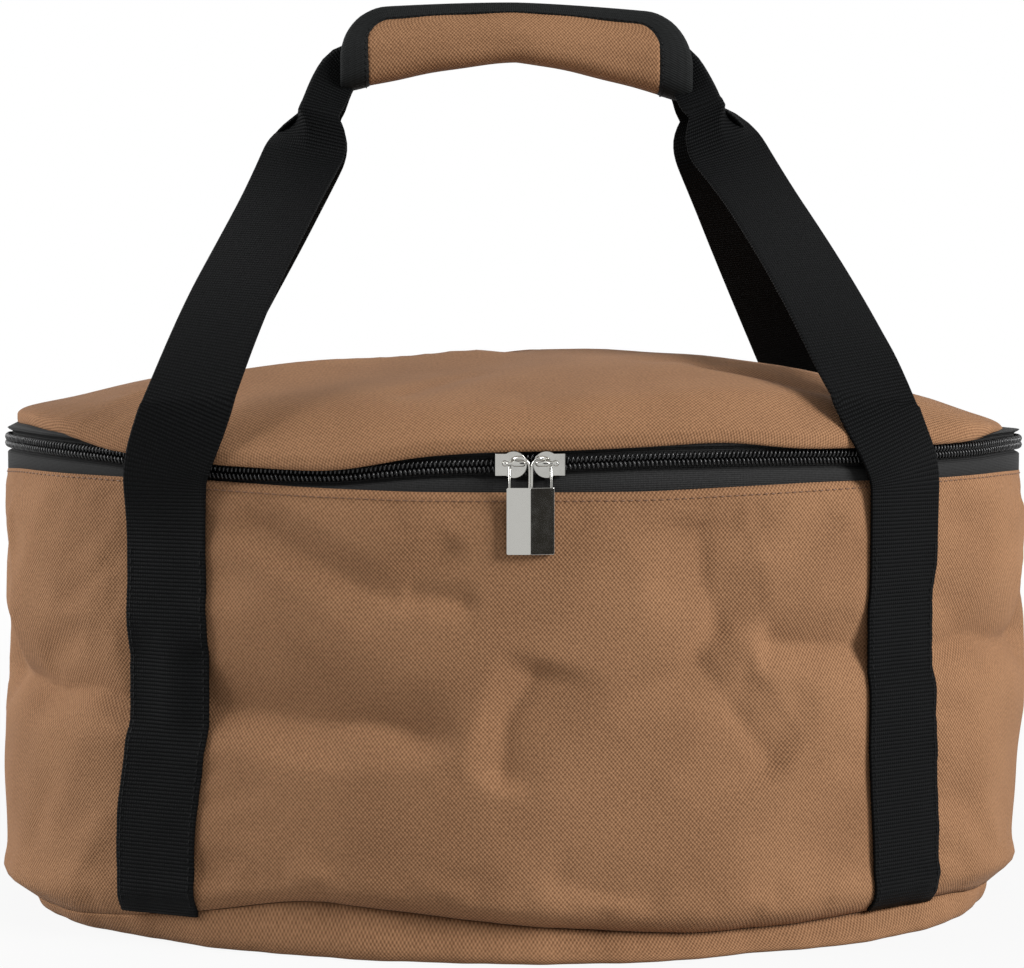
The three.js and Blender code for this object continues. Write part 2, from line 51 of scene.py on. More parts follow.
# the bag's own sizes in millimetres, the same as in the CAD part
bag = {"length": 376, "depth": 240, "endRadius": 86, "hem": 153, "roll": 9, "zip": 163.5, "lidEdge": 169.5,
       "lidShoulder": 173.5, "lidRise": 24.5, "domeFullness": 1.6, "hinge": 150}
endCentre = bag["length"] / 2 - bag["endRadius"]
overEnd = bag["depth"] / 2 - bag["endRadius"]
faceCentre = (endCentre**2 - overEnd**2) / (2 * overEnd)
faceRadius = bag["depth"] / 2 + faceCentre
joinAngle = math.atan2(endCentre, faceCentre)
faceArc = faceRadius * joinAngle
endArc = bag["endRadius"] * (math.pi - 2 * joinAngle)
halfGirth = 2 * faceArc + endArc


def smooth(t):
    t = np.clip(t, 0, 1)
    return t * t * (3 - 2 * t)


def hump(distance, wide, power=2):
    return np.exp(-(distance / wide) ** power)


def wrapGirth(girth):  # girth runs along the outer oval, 0 at the middle of the front, positive to the right
    return (np.asarray(girth, float) + halfGirth) % (2 * halfGirth) - halfGirth


def frontGirth(across):  # girth of a place on the front, from its distance across
    return faceRadius * math.asin(across / faceRadius)


def ovalPoints(girth, offset, z):
    girth = wrapGirth(girth)
    stops = np.cumsum([0, faceArc, endArc, faceArc])
    side = np.interp(np.abs(girth), stops, [0, joinAngle, math.pi - joinAngle, math.pi])
    turn = np.sign(girth) * side
    onFront, onBack = side <= joinAngle, side >= math.pi - joinAngle
    radius = np.where(onFront | onBack, faceRadius, bag["endRadius"]) + offset
    x = np.where(onFront | onBack, 0, np.sign(turn) * endCentre) + radius * np.sin(turn)
    y = np.where(onFront, faceCentre, np.where(onBack, -faceCentre, 0)) - radius * np.cos(turn)
    return np.stack(np.broadcast_arrays(x, y, np.asarray(z, float)), -1)


def ripple(a, b, waves):  # a sum of plain sine waves stands in for noise, so each run gives the same cloth
    total = 0
    for size, turn, phase, height in waves:
        along = a * math.cos(turn) + b * math.sin(turn)
        total = total + height * np.sin(2 * math.pi * along / size + phase)
    return total


def crease(a, b, fold):
    # a fold line that fades at its ends and slopes away on both sides: a width at each end, and how it curves
    (a0, b0), (a1, b1), depth, left, right = fold
    length = math.hypot(a1 - a0, b1 - b0)
    ua, ub = (a1 - a0) / length, (b1 - b0) / length
    share = ((a - a0) * ua + (b - b0) * ub) / length
    aside = -(a - a0) * ub + (b - b0) * ua
    fadeRun = 0.2
    fade = smooth(share / fadeRun + 0.5) * smooth((1 - share) / fadeRun + 0.5)
    t = np.clip(share, 0, 1)
    wide = np.where(aside > 0, left[0] + (left[1] - left[0]) * t, right[0] + (right[1] - right[0]) * t)
    power = np.where(aside > 0, left[2], right[2])
    return -depth * fade * np.clip(1 - np.abs(aside) / wide, 0, 1) ** power


def tableAt(table, at, spread):  # read between the table's points, rounded over the spread
    places, heights = np.array(table).T
    shifts = (-1, -0.5, 0, 0.5, 1)
    return np.mean([np.interp(np.asarray(at) + d * spread, places, heights) for d in shifts], axis=0)


def runningLength(path):
    return np.concatenate([[0], np.cumsum(np.linalg.norm(np.diff(path, axis=0), axis=1))])


def closeGrid(grid):  # the first column again at the end, for the texture's seam
    return np.concatenate([grid, grid[:, :1]], 1)


def surfaceNormals(points, closed):
    along = np.gradient(points, axis=1)
    if closed:
        wrapped = np.concatenate([points[:, -1:], points, points[:, :1]], 1)
        along = np.gradient(wrapped, axis=1)[:, 1:-1]
    normal = np.cross(along, np.gradient(points, axis=0))
    return normal / np.maximum(np.linalg.norm(normal, axis=-1, keepdims=True), 1e-9)


def addObject(name, data):
    piece = bpy.data.objects.new(name, data)
    bpy.context.scene.collection.objects.link(piece)
    return piece


def finishMesh(name, points, faces, cornerUv, material):
    mesh = bpy.data.meshes.new(name)
    mesh.from_pydata((np.asarray(points) * mm).tolist(), [], faces)
    if cornerUv is not None:
        layer = mesh.uv_layers.new(name="clothUv")
        layer.data.foreach_set("uv", (np.asarray(cornerUv, float) * mm).ravel())
    mesh.materials.append(material)
    mesh.shade_smooth()
    made = bmesh.new()
    made.from_mesh(mesh)
    bmesh.ops.recalc_face_normals(made, faces=made.faces)
    made.to_mesh(mesh)
    made.free()
    mesh.update()
    return addObject(name, mesh)


def gridQuads(rows, cols, closed):
    r, c = np.meshgrid(np.arange(rows - 1), np.arange(cols if closed else cols - 1), indexing="ij")
    r, c = r.ravel(), c.ravel()
    corners = [(r, c), (r, c + 1), (r + 1, c + 1), (r + 1, c)]
    faces = np.stack([row * cols + col % cols for row, col in corners], -1)
    return faces, corners


def shell(name, outer, inner, closed, u, v, material):
    # a closed wall of cloth between two grids of the same size, with rims on its free edges
    rows, cols = outer.shape[:2]
    count = rows * cols
    u2 = np.broadcast_to(u, (rows, len(u))) if np.ndim(u) == 1 else u
    v2 = np.broadcast_to(np.asarray(v)[:, None], (rows, u2.shape[1])) if np.ndim(v) == 1 else v
    uvAt = np.stack([u2, v2], -1)
    faces, corners = gridQuads(rows, cols, closed)
    uv = np.stack([uvAt[r, c] for r, c in corners], 1)
    allFaces, allUv = [faces, faces[:, ::-1] + count], [uv, uv[:, ::-1]]
    spans, ups = np.arange(cols if closed else cols - 1), np.arange(rows - 1)
    nexts = (spans + 1) % cols
    rims = [(row * cols + spans, row * cols + nexts, uvAt[row, spans], uvAt[row, spans + 1], flip)
            for row, flip in ((0, 1), (rows - 1, -1))]
    if not closed:
        rims += [(ups * cols + col, (ups + 1) * cols + col, uvAt[ups, col], uvAt[ups + 1, col], flip)
                 for col, flip in ((0, -1), (cols - 1, 1))]
    for here, there, uvHere, uvThere, flip in rims:
        allFaces.append(np.stack([here, here + count, there + count, there], -1)[:, ::flip])
        allUv.append(np.stack([uvHere, uvHere, uvThere, uvThere], 1)[:, ::flip])
    points = np.concatenate([outer.reshape(-1, 3), inner.reshape(-1, 3)])
    cornerUv = np.concatenate(allUv).reshape(-1, 2)
    return finishMesh(name, points, np.concatenate(allFaces).tolist(), cornerUv, material)


def loftPart(rings):  # points and faces of a closed loft with flat ends
    rows, cols = rings.shape[:2]
    first, last = list(range(cols))[::-1], [(rows - 1) * cols + c for c in range(cols)]
    return rings.reshape(-1, 3), gridQuads(rows, cols, True)[0].tolist() + [first, last]


def tube(name, rings, along, around, material):  # along and around are the texture lengths
    rows, cols = rings.shape[:2]
    uv = [np.stack([around[c], along[r]], -1) for r, c in gridQuads(rows, cols, True)[1]]
    cornerUv = np.concatenate([np.stack(uv, 1).reshape(-1, 2), np.zeros((2 * cols, 2))])
    return finishMesh(name, *loftPart(rings), cornerUv, material)


def dress(piece, body, slot, *nodes):  # what it moves with, the solids that it stands for, and a slot that is not used
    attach(piece, body)
    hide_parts(*nodes)


def linear(hexColour):
    channels = [int(hexColour[i:i + 2], 16) / 255 for i in (1, 3, 5)]
    return (*[c / 12.92 if c <= 0.04045 else ((c + 0.055) / 1.055) ** 2.4 for c in channels], 1)


def addNode(tree, kind, inputs=None, **settings):
    node = tree.nodes.new(kind)
    for key, value in settings.items():
        setattr(node, key, value)
    for key, value in (inputs or {}).items():
        if isinstance(value, tuple) and isinstance(value[0], bpy.types.Node):
            tree.links.new(value[0].outputs[value[1]], node.inputs[key])
        else:
            node.inputs[key].default_value = value
    return node


def newMaterial(name, **sockets):
    material = bpy.data.materials.new(name)
    material.use_nodes = True
    shader = material.node_tree.nodes["Principled BSDF"]
    for key, value in sockets.items():
        shader.inputs[key.replace("_", " ")].default_value = value
    return material, material.node_tree, shader


def spreadNoise(tree, place, scale, detail, low, high):
    noise = addNode(tree, "ShaderNodeTexNoise", {"Vector": place, "Scale": scale, "Detail": detail})
    return addNode(tree, "ShaderNodeMapRange", {0: (noise, "Fac"), 1: 0.3, 2: 0.7, 3: low, 4: high})


def threadWave(tree, axes, axis, pitch):  # one full wave over two threads
    perLength = math.pi / (pitch * mm)
    turns = addNode(tree, "ShaderNodeMath", {0: (axes, axis), 1: perLength}, operation="MULTIPLY")
    return addNode(tree, "ShaderNodeMath", {0: (turns, 0)}, operation="SINE")


def weaveShadeAndBump(tree, shader, share, height, dark, light, bump, depth):
    # painted shade and highlight: the colour runs from the dark colour in the weave's hollows to the light
    # colour on its raised threads
    mix = addNode(tree, "ShaderNodeMix", {0: (share, 0), 6: linear(dark), 7: linear(light)}, data_type="RGBA")
    dent = addNode(tree, "ShaderNodeBump", {"Strength": bump, "Distance": depth * mm, "Height": (height, 0)})
    tree.links.new(mix.outputs[2], shader.inputs["Base Color"])
    tree.links.new(dent.outputs[0], shader.inputs["Normal"])


# noise per metre: patches are about 36 mm wide, slubs in the yarn 1.1 mm and lint 0.8 mm
perMetre = {"patches": 28.0, "slubs": 900.0, "lint": 1200.0}


def wovenLook(name, dark, light, across, along, bump, patchDepth, **sockets):
    # plain weave: raised thread crossings every thread width, painted lighter as a painted highlight, and
    # painted darker in the gaps as painted shade, with soft uneven patches
    material, tree, shader = newMaterial(name, **sockets)
    uv = addNode(tree, "ShaderNodeUVMap", uv_map="clothUv")
    axes = addNode(tree, "ShaderNodeSeparateXYZ", {0: (uv, 0)})
    warp, weft = threadWave(tree, axes, "X", across), threadWave(tree, axes, "Y", along)
    crossing = addNode(tree, "ShaderNodeMath", {0: (warp, 0), 1: (weft, 0)}, operation="MULTIPLY")
    height = addNode(tree, "ShaderNodeMapRange", {0: (crossing, 0), 1: -1.0, 2: 1.0})
    place = addNode(tree, "ShaderNodeTexCoord")
    patches = spreadNoise(tree, (place, "Object"), perMetre["patches"], 4.0, -patchDepth, patchDepth)
    slubs = spreadNoise(tree, (uv, 0), perMetre["slubs"], 2.0, -0.16, 0.16)
    uneven = addNode(tree, "ShaderNodeMath", {0: (patches, 0), 1: (slubs, 0)}, operation="ADD")
    share = addNode(tree, "ShaderNodeMath", {0: (height, 0), 1: (uneven, 0)}, operation="ADD", use_clamp=True)
    weaveShadeAndBump(tree, shader, share, share, dark, light, bump, 0.3)
    return material


def ribbedLook(name, dark, light, rib, cord, bump, **sockets):
    # ribbed weave: rows of raised ribs across the length, each broken into short floats, with a painted
    # highlight on each raised float and painted shade between them
    material, tree, shader = newMaterial(name, **sockets)
    uv = addNode(tree, "ShaderNodeUVMap", uv_map="clothUv")
    axes = addNode(tree, "ShaderNodeSeparateXYZ", {0: (uv, 0)})
    rows, cords = threadWave(tree, axes, "Y", rib), threadWave(tree, axes, "X", cord)
    ribs = addNode(tree, "ShaderNodeMath", {0: (rows, 0)}, operation="ABSOLUTE")
    floats = addNode(tree, "ShaderNodeMath", {0: (cords, 0)}, operation="ABSOLUTE")
    raised = addNode(tree, "ShaderNodeMapRange", {0: (floats, 0), 3: 0.55, 4: 1.0})
    height = addNode(tree, "ShaderNodeMath", {0: (ribs, 0), 1: (raised, 0)}, operation="MULTIPLY")
    lint = spreadNoise(tree, (uv, 0), perMetre["lint"], 2.0, -0.25, 0.25)
    share = addNode(tree, "ShaderNodeMath", {0: (height, 0), 1: (lint, 0)}, operation="ADD", use_clamp=True)
    weaveShadeAndBump(tree, shader, share, height, dark, light, bump, 0.35)
    return material


def plainLook(name, hexColour, grain, grainSize, **sockets):
    # one body colour with a fine uneven gloss from handling and moulding
    material, tree, shader = newMaterial(name, Base_Color=linear(hexColour), **sockets)
    place = addNode(tree, "ShaderNodeTexCoord")
    rough = shader.inputs["Roughness"].default_value
    low, high = max(rough - grain, 0.05), rough + grain
    spread = spreadNoise(tree, (place, "Object"), 1 / (grainSize * mm), 3.0, low, high)
    tree.links.new(spread.outputs[0], shader.inputs["Roughness"])
    return material


# coated polyester oxford: matt yarn-dyed plain weave, threads about 0.7 mm apart, faint sheen at a low angle;
# the darker colour is painted shade in the gaps, the lighter one a painted highlight on the crossings
camelCloth = wovenLook("polyesterOxfordCamel", "#6b4b33", "#a47b5a", 0.66, 0.76, 0.6, 0.12,
                       Roughness=0.8, Specular_IOR_Level=0.12, Sheen_Weight=0.03, Sheen_Roughness=0.45)
# lining taffeta: much finer and smoother weave with a soft gloss; drawn coarser than life so that it shows,
# with painted shade in the gaps and a painted highlight on the crossings
liningCloth = wovenLook("polyesterTaffetaGrey", "#33302d", "#504c47", 0.5, 0.5, 0.2, 0.08, Roughness=0.55,
                        Specular_IOR_Level=0.3)
# polypropylene webbing: heavy black ribs 1.3 mm apart with a dull gloss on each float, partly a faint real
# gloss and partly a painted highlight, with painted shade between the floats
blackWebbing = ribbedLook("polypropyleneWebbingBlack", "#010101", "#0e0f10", 1.3, 0.9, 0.9, Roughness=0.6,
                          Specular_IOR_Level=0.05)
# grosgrain binding: polyester, with ribs half as wide as the webbing's, a painted highlight on each rib and
# painted shade between
blackBinding = ribbedLook("polyesterGrosgrainBlack", "#050606", "#151717", 0.7, 0.6, 0.4, Roughness=0.7,
                          Specular_IOR_Level=0.15)
# zip tape: knitted polyester with fine ribs, a painted highlight on each rib and painted shade between
zipTapeLook = ribbedLook("polyesterZipTapeBlack", "#191919", "#303030", 0.6, 0.55, 0.35, Roughness=0.72,
                         Specular_IOR_Level=0.1)
# hook and loop strip: a dense nap of nylon, drawn as coarse rows with a painted highlight on each row and
# painted shade between
fastenerLook = ribbedLook("nylonHookAndLoopBlack", "#070708", "#18181a", 0.9, 0.9, 1.0, Roughness=0.9,
                          Specular_IOR_Level=0.15)
# monofilament nylon coil: smooth, dark, and shiny enough to carry a small highlight on each turn
coilNylon = plainLook("nylonCoilBlack", "#0b0b0c", 0.06, 1.5, Roughness=0.3)
# bright nickel plate on zinc casting: clear reflections, slightly softened by handling
nickelPlate = plainLook("nickelPlateBright", "#b7b6b1", 0.04, 3.0, Metallic=1.0, Roughness=0.15)
# bonded polyester sewing threads: round, slightly glossy
camelThread = plainLook("polyesterThreadCamel", "#6d4c34", 0.08, 0.6, Roughness=0.55)
blackThread = plainLook("polyesterThreadBlack", "#0a0a0b", 0.08, 0.6, Roughness=0.6, Specular_IOR_Level=0.15)
# hollow polypropylene board: dull moulded sheet
boardPlastic = plainLook("polypropyleneBoardGrey", "#2f2f31", 0.08, 4.0, Roughness=0.55)
print("materials ready")


def newTree(name, sizes):
    tree = bpy.data.node_groups.new(name, "GeometryNodeTree")
    tree.interface.new_socket(name="Geometry", in_out="INPUT", socket_type="NodeSocketGeometry")
    for label in sizes:
        tree.interface.new_socket(name=label, in_out="INPUT", socket_type="NodeSocketFloat")
    tree.interface.new_socket(name="Material", in_out="INPUT", socket_type="NodeSocketMaterial")
    tree.interface.new_socket(name="Geometry", in_out="OUTPUT", socket_type="NodeSocketGeometry")
    given = addNode(tree, "NodeGroupInput")
    return tree, given, addNode(tree, "GeometryNodeMeshToCurve", {0: (given, "Geometry")})


def endTree(tree, given, made):
    real = addNode(tree, "GeometryNodeRealizeInstances", {0: (made, 0)})
    soft = addNode(tree, "GeometryNodeSetShadeSmooth", {0: (real, 0)})
    dyed = addNode(tree, "GeometryNodeSetMaterial", {"Geometry": (soft, 0), "Material": (given, "Material")})
    addNode(tree, "NodeGroupOutput", {0: (dyed, 0)})
    return tree


def stitchTree():
    tree, given, line = newTree("sewnStitches", ("Pitch", "Stitch", "Thread"))
    pitch = {0: (line, 0), "Length": (given, "Pitch")}
    spaced = addNode(tree, "GeometryNodeResampleCurve", pitch, mode="LENGTH")
    ball = addNode(tree, "GeometryNodeMeshUVSphere", {"Segments": 6, "Rings": 5, "Radius": 0.5})
    tangent = addNode(tree, "GeometryNodeInputTangent")
    turn = addNode(tree, "FunctionNodeAlignRotationToVector", {"Vector": (tangent, 0)}, axis="X")
    thread = (given, "Thread")
    size = addNode(tree, "ShaderNodeCombineXYZ", {0: (given, "Stitch"), 1: thread, 2: thread})
    sewn = addNode(tree, "GeometryNodeInstanceOnPoints", {
        "Points": (spaced, 0), "Instance": (ball, 0), "Rotation": (turn, 0), "Scale": (size, 0)})
    return endTree(tree, given, sewn)


def coilTree(steps):
    tree, given, line = newTree("woundCoil", ("Pitch", "Wide", "Deep", "Wire"))
    step = addNode(tree, "ShaderNodeMath", {0: (given, "Pitch"), 1: steps}, operation="DIVIDE")
    spaced = addNode(tree, "GeometryNodeResampleCurve", {0: (line, 0), "Length": (step, 0)}, mode="LENGTH")
    index = addNode(tree, "GeometryNodeInputIndex")
    phase = addNode(tree, "ShaderNodeMath", {0: (index, 0), 1: 2 * math.pi / steps}, operation="MULTIPLY")
    cosine = addNode(tree, "ShaderNodeMath", {0: (phase, 0)}, operation="COSINE")
    sine = addNode(tree, "ShaderNodeMath", {0: (phase, 0)}, operation="SINE")
    tangent = addNode(tree, "GeometryNodeInputTangent")
    upwards = (0, 0, 1)
    outward = addNode(tree, "ShaderNodeVectorMath", {0: (tangent, 0), 1: upwards}, operation="CROSS_PRODUCT")
    deep = addNode(tree, "ShaderNodeMath", {0: (cosine, 0), 1: (given, "Deep")}, operation="MULTIPLY")
    wide = addNode(tree, "ShaderNodeMath", {0: (sine, 0), 1: (given, "Wide")}, operation="MULTIPLY")
    pushed = addNode(tree, "ShaderNodeVectorMath", {0: (outward, 0), "Scale": (deep, 0)}, operation="SCALE")
    lifted = addNode(tree, "ShaderNodeCombineXYZ", {2: (wide, 0)})
    shift = addNode(tree, "ShaderNodeVectorMath", {0: (pushed, 0), 1: (lifted, 0)}, operation="ADD")
    wound = addNode(tree, "GeometryNodeSetPosition", {"Geometry": (spaced, 0), "Offset": (shift, 0)})
    wire = addNode(tree, "GeometryNodeCurvePrimitiveCircle", {"Resolution": 5, "Radius": (given, "Wire")})
    swept = addNode(tree, "GeometryNodeCurveToMesh", {0: (wound, 0), 1: (wire, 0), "Fill Caps": True})
    return endTree(tree, given, swept)


def runTree(name, lines, tree, values):  # sews or winds along polylines, and leaves a plain mesh
    points, edges = [], []
    for line in lines:
        start = len(points)
        points += (np.asarray(line) * mm).tolist()
        edges += [(start + i, start + i + 1) for i in range(len(line) - 1)]
    mesh = bpy.data.meshes.new(name + "Line")
    mesh.from_pydata(points, edges, [])
    guide = addObject(name + "Line", mesh)
    worker = guide.modifiers.new("work", "NODES")
    worker.node_group = tree
    for item in tree.interface.items_tree:
        if item.in_out == "INPUT" and item.name in values:
            worker[item.identifier] = values[item.name]
    made = bpy.data.meshes.new_from_object(guide.evaluated_get(bpy.context.evaluated_depsgraph_get()))
    bpy.data.objects.remove(guide)
    return addObject(name, made)


sewing = stitchTree()
winding = coilTree(10)


def sew(name, lines, material, sizes):
    pitch, stitch, thread = sizes
    return runTree(name, lines, sewing, {"Pitch": pitch * mm, "Stitch": stitch * mm, "Thread": thread * mm,
                                         "Material": material})


# values by side are 1 for the right and -1 for the left; the straps' legs sway from upright
webbing = {"width": 30, "thickness": 1.4, "spread": 125, "sewnTop": 135.5, "rise": {1: 25, -1: 26},
           "yaw": {1: 27, -1: 9}, "freeYaw": 8, "twist": 46, "standOff": 5.6, "upright": 48.5, "reach": 0.2,
           "low": 0.4, "high": 0.72, "foldedWidth": 13, "foldRun": 38, "foldBend": 1.4,
           "exit": {1: -6, -1: -2}, "shoulderReach": 4, "shoulderRun": 15, "bow": {1: 4.5, -1: 0},
           "yawFrom": 30, "yawRun": 40, "foldLead": 3, "foldYawLead": 30, "foldYawRun": 55, "lift": 1.0,
           "bridge": 24, "bridgeFrom": 4, "bridgeRun": 20, "footClear": 6, "footGap": 0.6, "sewnLift": 0.05,
           "backSway": {1: 13.0, -1: 17.0}, "leftSway": -4.8, "rightSway": 2.6, "rightFoot": 2.8,
           "swayRise": {"back": (40, 80), "left": (30, 50), "right": (20, 60)},
           "swayFade": {"back": 200, "left": 110, "right": 80},
           "edgeSteps": (0, 0.12, 0.4, 0.8, 1.6, 3.5, 6, 8.5, 10.5, 12, 13, 13.8, 14.4),
           "roundEdge": 0.7, "seam": 13.2, "stitch": (3.0, 2.3, 0.4), "sewnRows": 62, "freeRows": 120,
           "gripSteps": 40}
strapMiddle = frontGirth(webbing["spread"])


def quarterGirth(girth, acrossSign, depthSign):  # from the front right quarter to another
    return acrossSign * (girth if depthSign > 0 else halfGirth - girth)


# folds and bulges are (girth, height) places read off the front, and guessed in the same manner on the back
wall = {"rows": 78, "cols": 520, "padding": 5.9, "mostProud": 3.0, "press": 4.2, "hemHeld": 20,
        "seamHeld": 16, "seamTuck": (1.2, 5.0), "tuckMiddle": 20, "tuckWide": 125, "tuckTall": 6.5,
        "seamRoll": 1.2, "rollRise": 9, "rollTall": 5, "puckerTall": 9,
        "endTuck": {1: (17, 16), -1: (17, 12)}, "endTuckWide": 68, "endWide": 90, "rightTaper": 3.2,
        "taperFoot": 12, "topLean": 1.3, "leanFrom": 95, "leanRun": 40, "hemFold": 1.2, "seamGap": 0.3,
        "stitchDrop": 2.8, "stitchLift": 0.1, "stitch": (2.6, 2.1, 0.5), "trialRows": 44, "trialCols": 260,
        "cloth": {"steps": 20, "quality": 6, "mass": 0.2, "damping": 2.0, "stretch": 20, "shear": 8,
                  "bending": 0.4, "slack": 0.007, "pressure": 0.3, "cap": 1.6},
        "folds": [((-120, 83.5), (-32, 76), 5.8, (36, 20, 1.4), (17, 13, 1.5)),
                  ((-236, 85), (-128, 82.5), 7.6, (26, 30, 1.4), (15, 15, 1.6)),
                  ((78, 105), (119, 100.5), 4.4, (14, 17, 1.7), (14, 15, 1.6)),
                  ((122, 100.5), (222, 97), 6.5, (28, 28, 1.4), (16, 16, 1.6)),
                  ((-97, 148), (-47, 118.5), 2.7, (11, 10, 1.2), (12, 14, 1.2)),
                  ((-47, 118.5), (-27, 140), 2.2, (9, 9, 1), (9, 9, 1)),
                  ((-41, 121), (-21, 120), 2.2, (8, 8, 1.5), (9, 9, 1.5)),
                  ((0, 100), (-13, 62), 4.8, (27, 15, 1), (12, 12, 1)),
                  ((51, 103), (83, 62), 4.2, (17, 14, 1), (34, 30, 1)),
                  ((53, 147), (63, 106), 4.0, (18, 20, 1), (26, 26, 1.5)),
                  ((4, 31), (42, 17), 1.8, (12, 16, 1.2), (9, 9, 1.2)),
                  ((-114, 23), (-82, 27), 1.9, (14, 10, 1.5), (6, 6, 1)),
                  ((-206, 150), (-204, 86), -3.0, (44, 40, 1.2), (14, 14, 1.2)),
                  ((207, 150), (205, 98), -2.8, (14, 14, 1.2), (42, 38, 1.2)),
                  ((288, 96), (372, 90), 4.2, (28, 32, 2), (40, 30, 1.5)),
                  ((-470, 84), (-395, 91), 3.6, (26, 24, 2), (38, 30, 1.5)),
                  ((-372, 100), (-300, 92), 4.2, (30, 30, 2), (36, 34, 1.5)),
                  ((420, 132), (470, 88), 2.4, (14, 12, 1), (18, 14, 1)),
                  ((-440, 140), (-425, 96), 2.0, (14, 12, 1), (16, 16, 1))],
        "bulges": [((-12, 40), 1.2, 60, 26), ((60, 96), 0.8, 20, 22), ((95, 75), 1.0, 26, 24),
                   ((-165, 50), 1.0, 30, 24), ((165, 60), 1.2, 30, 26), ((34.6, 72), -0.9, 9, 9),
                   ((58, 24), 1.6, 26, 12), ((-152, 75), 3.0, 20, 70), ((-236, 97), -2.6, 30, 18),
                   ((240, 72), 2.6, 40, 24)],
        "waves": [(83, 0.5, 1.1, 0.3), (47, 2.1, 0.4, 0.22), (31, 1.2, 2.7, 0.15), (19, 2.7, 0.9, 0.08)],
        "wander": [(38, 0.7, 0.3, 1.0), (23, 2.2, 1.4, 0.6)],  # keeps fold lines from being ruled straight
        "puckers": [(13, 0, 0.4, 0.14), (53, 0, 2.0, 0.35), (29, 0, 1.0, 0.3)]}
# the base seam's height, and how far the other soft edges rise above their plain level or sag below it
softEdges = {"seam": [(-490, 9), (-330, 7), (-240, 5), (-190, 5.4), (-165, 6.6), (-143, 9), (-114, 13.2),
                      (-98, 16), (-80, 19), (-61, 18), (-33, 15), (-7, 12.2), (21, 10), (55, 7.4), (92, 7.6),
                      (120, 9), (157, 10.5), (185, 8), (240, 5), (330, 7), (490, 9)],
             "hem": [(-400, 0), (-330, 1), (-245, 6), (-200, 8), (-150, 7), (-105, 4.6), (-77, 3.3),
                     (-40, 2.1), (0, 2), (36, 2), (70, 3.2), (106, 4.3), (158, 5.8), (190, 6.4), (245, 5),
                     (330, 1), (400, 0)],
             "zip": [(-400, 0), (-330, 1), (-245, 5), (-200, 4.7), (-169, 3.3), (-146, 1.8), (-127, -0.8),
                     (-108, -2.8), (-77, -3.1), (-66, -3.2), (-54, -2), (-38, -0.5), (-17, 0.1), (0, 0.4),
                     (11, 1), (36, 1.9), (70, 2.2), (95, 2), (115, 1.7), (153, 2.6), (171, 3), (190, 4),
                     (245, 3.6), (330, 1), (400, 0)],
             "lid": [(-400, 0), (-330, 0.5), (-245, 4.6), (-200, 4.4), (-169, 2.2), (-154, -1.6),
                     (-146, -2.8), (-108, -6.2), (-77, -7.6), (-66, -7.8), (-54, -6), (-38, -3), (-17, -1.5),
                     (11, -1), (36, 0), (59, 1.3), (70, 1), (83, -0.6), (95, -1.4), (115, -1.3), (153, -1),
                     (171, 0), (185, 1.6), (245, 2), (330, 0.5), (400, 0)]}


def softEdge(kind, girth, spread=7):
    return tableAt(softEdges[kind], wrapGirth(girth), spread)


def hemHeight(girth):
    return bag["hem"] + softEdge("hem", girth)


def seamHeight(girth):
    return softEdge("seam", girth, 9)


def topLean(girth):  # both ends draw in a little towards the zip
    return wall["topLean"] * hump(np.abs(girth) - halfGirth / 2, wall["endWide"])


def endTuck(girth, z):  # how far the lowest part of each end is drawn in under the bag
    total = 0
    for side, (most, height) in wall["endTuck"].items():
        near = hump(girth - side * halfGirth / 2, wall["endTuckWide"])
        total = total + most * near * np.clip(1 - z / height, 0, 1) ** 1.15
    return total


def seamTuck(girth):  # deepest under the front
    least, more = wall["seamTuck"]
    return least + more * hump(girth - wall["tuckMiddle"], wall["tuckWide"], 4)


def wallOffset(girth, z):
    girth = wrapGirth(girth)
    hem, low = hemHeight(girth), seamHeight(girth)
    held = smooth((hem - z) / wall["hemHeld"]) * smooth((z - low) / wall["seamHeld"])
    soft = ripple(girth, z, wall["waves"])
    wander = ripple(girth, z, wall["wander"])
    for fold in wall["folds"]:
        soft = soft + crease(girth + wander, z - wander, fold)
    for (a, b), height, wide, tall in wall["bulges"]:
        soft = soft + height * hump(girth - a, wide) * hump(z - b, tall)
    right = hump(girth - halfGirth / 2, wall["endWide"])
    drop = np.clip((hem - z) / (hem - wall["taperFoot"]), 0, 1)
    lean = -wall["rightTaper"] * right * drop**1.3 - endTuck(girth, z)
    lean = lean - topLean(girth) * smooth((z - wall["leanFrom"]) / wall["leanRun"])
    tuck = -seamTuck(girth) * np.clip(1 - (z - low) / wall["tuckTall"], 0, 1) ** 2
    roll = wall["seamRoll"] * hump(z - low - wall["rollRise"], wall["rollTall"])
    fade = np.exp(-np.clip(z - low, 0, None) / wall["puckerTall"])
    pucker = ripple(girth, 0 * girth, wall["puckers"]) * fade
    settled = settledAt(wallSettled, girth, (z - low) / (hem - low))
    return np.minimum(soft * held + settled, wall["mostProud"]) + lean + tuck + roll + pucker


def innerPress(girth, z):  # deep folds push the padding and the lining in behind them
    return np.minimum(0, wallOffset(girth, z) + wall["press"])


def wallPoints(girth, z, extra=0):
    return ovalPoints(girth, wallOffset(girth, z) + extra, z)


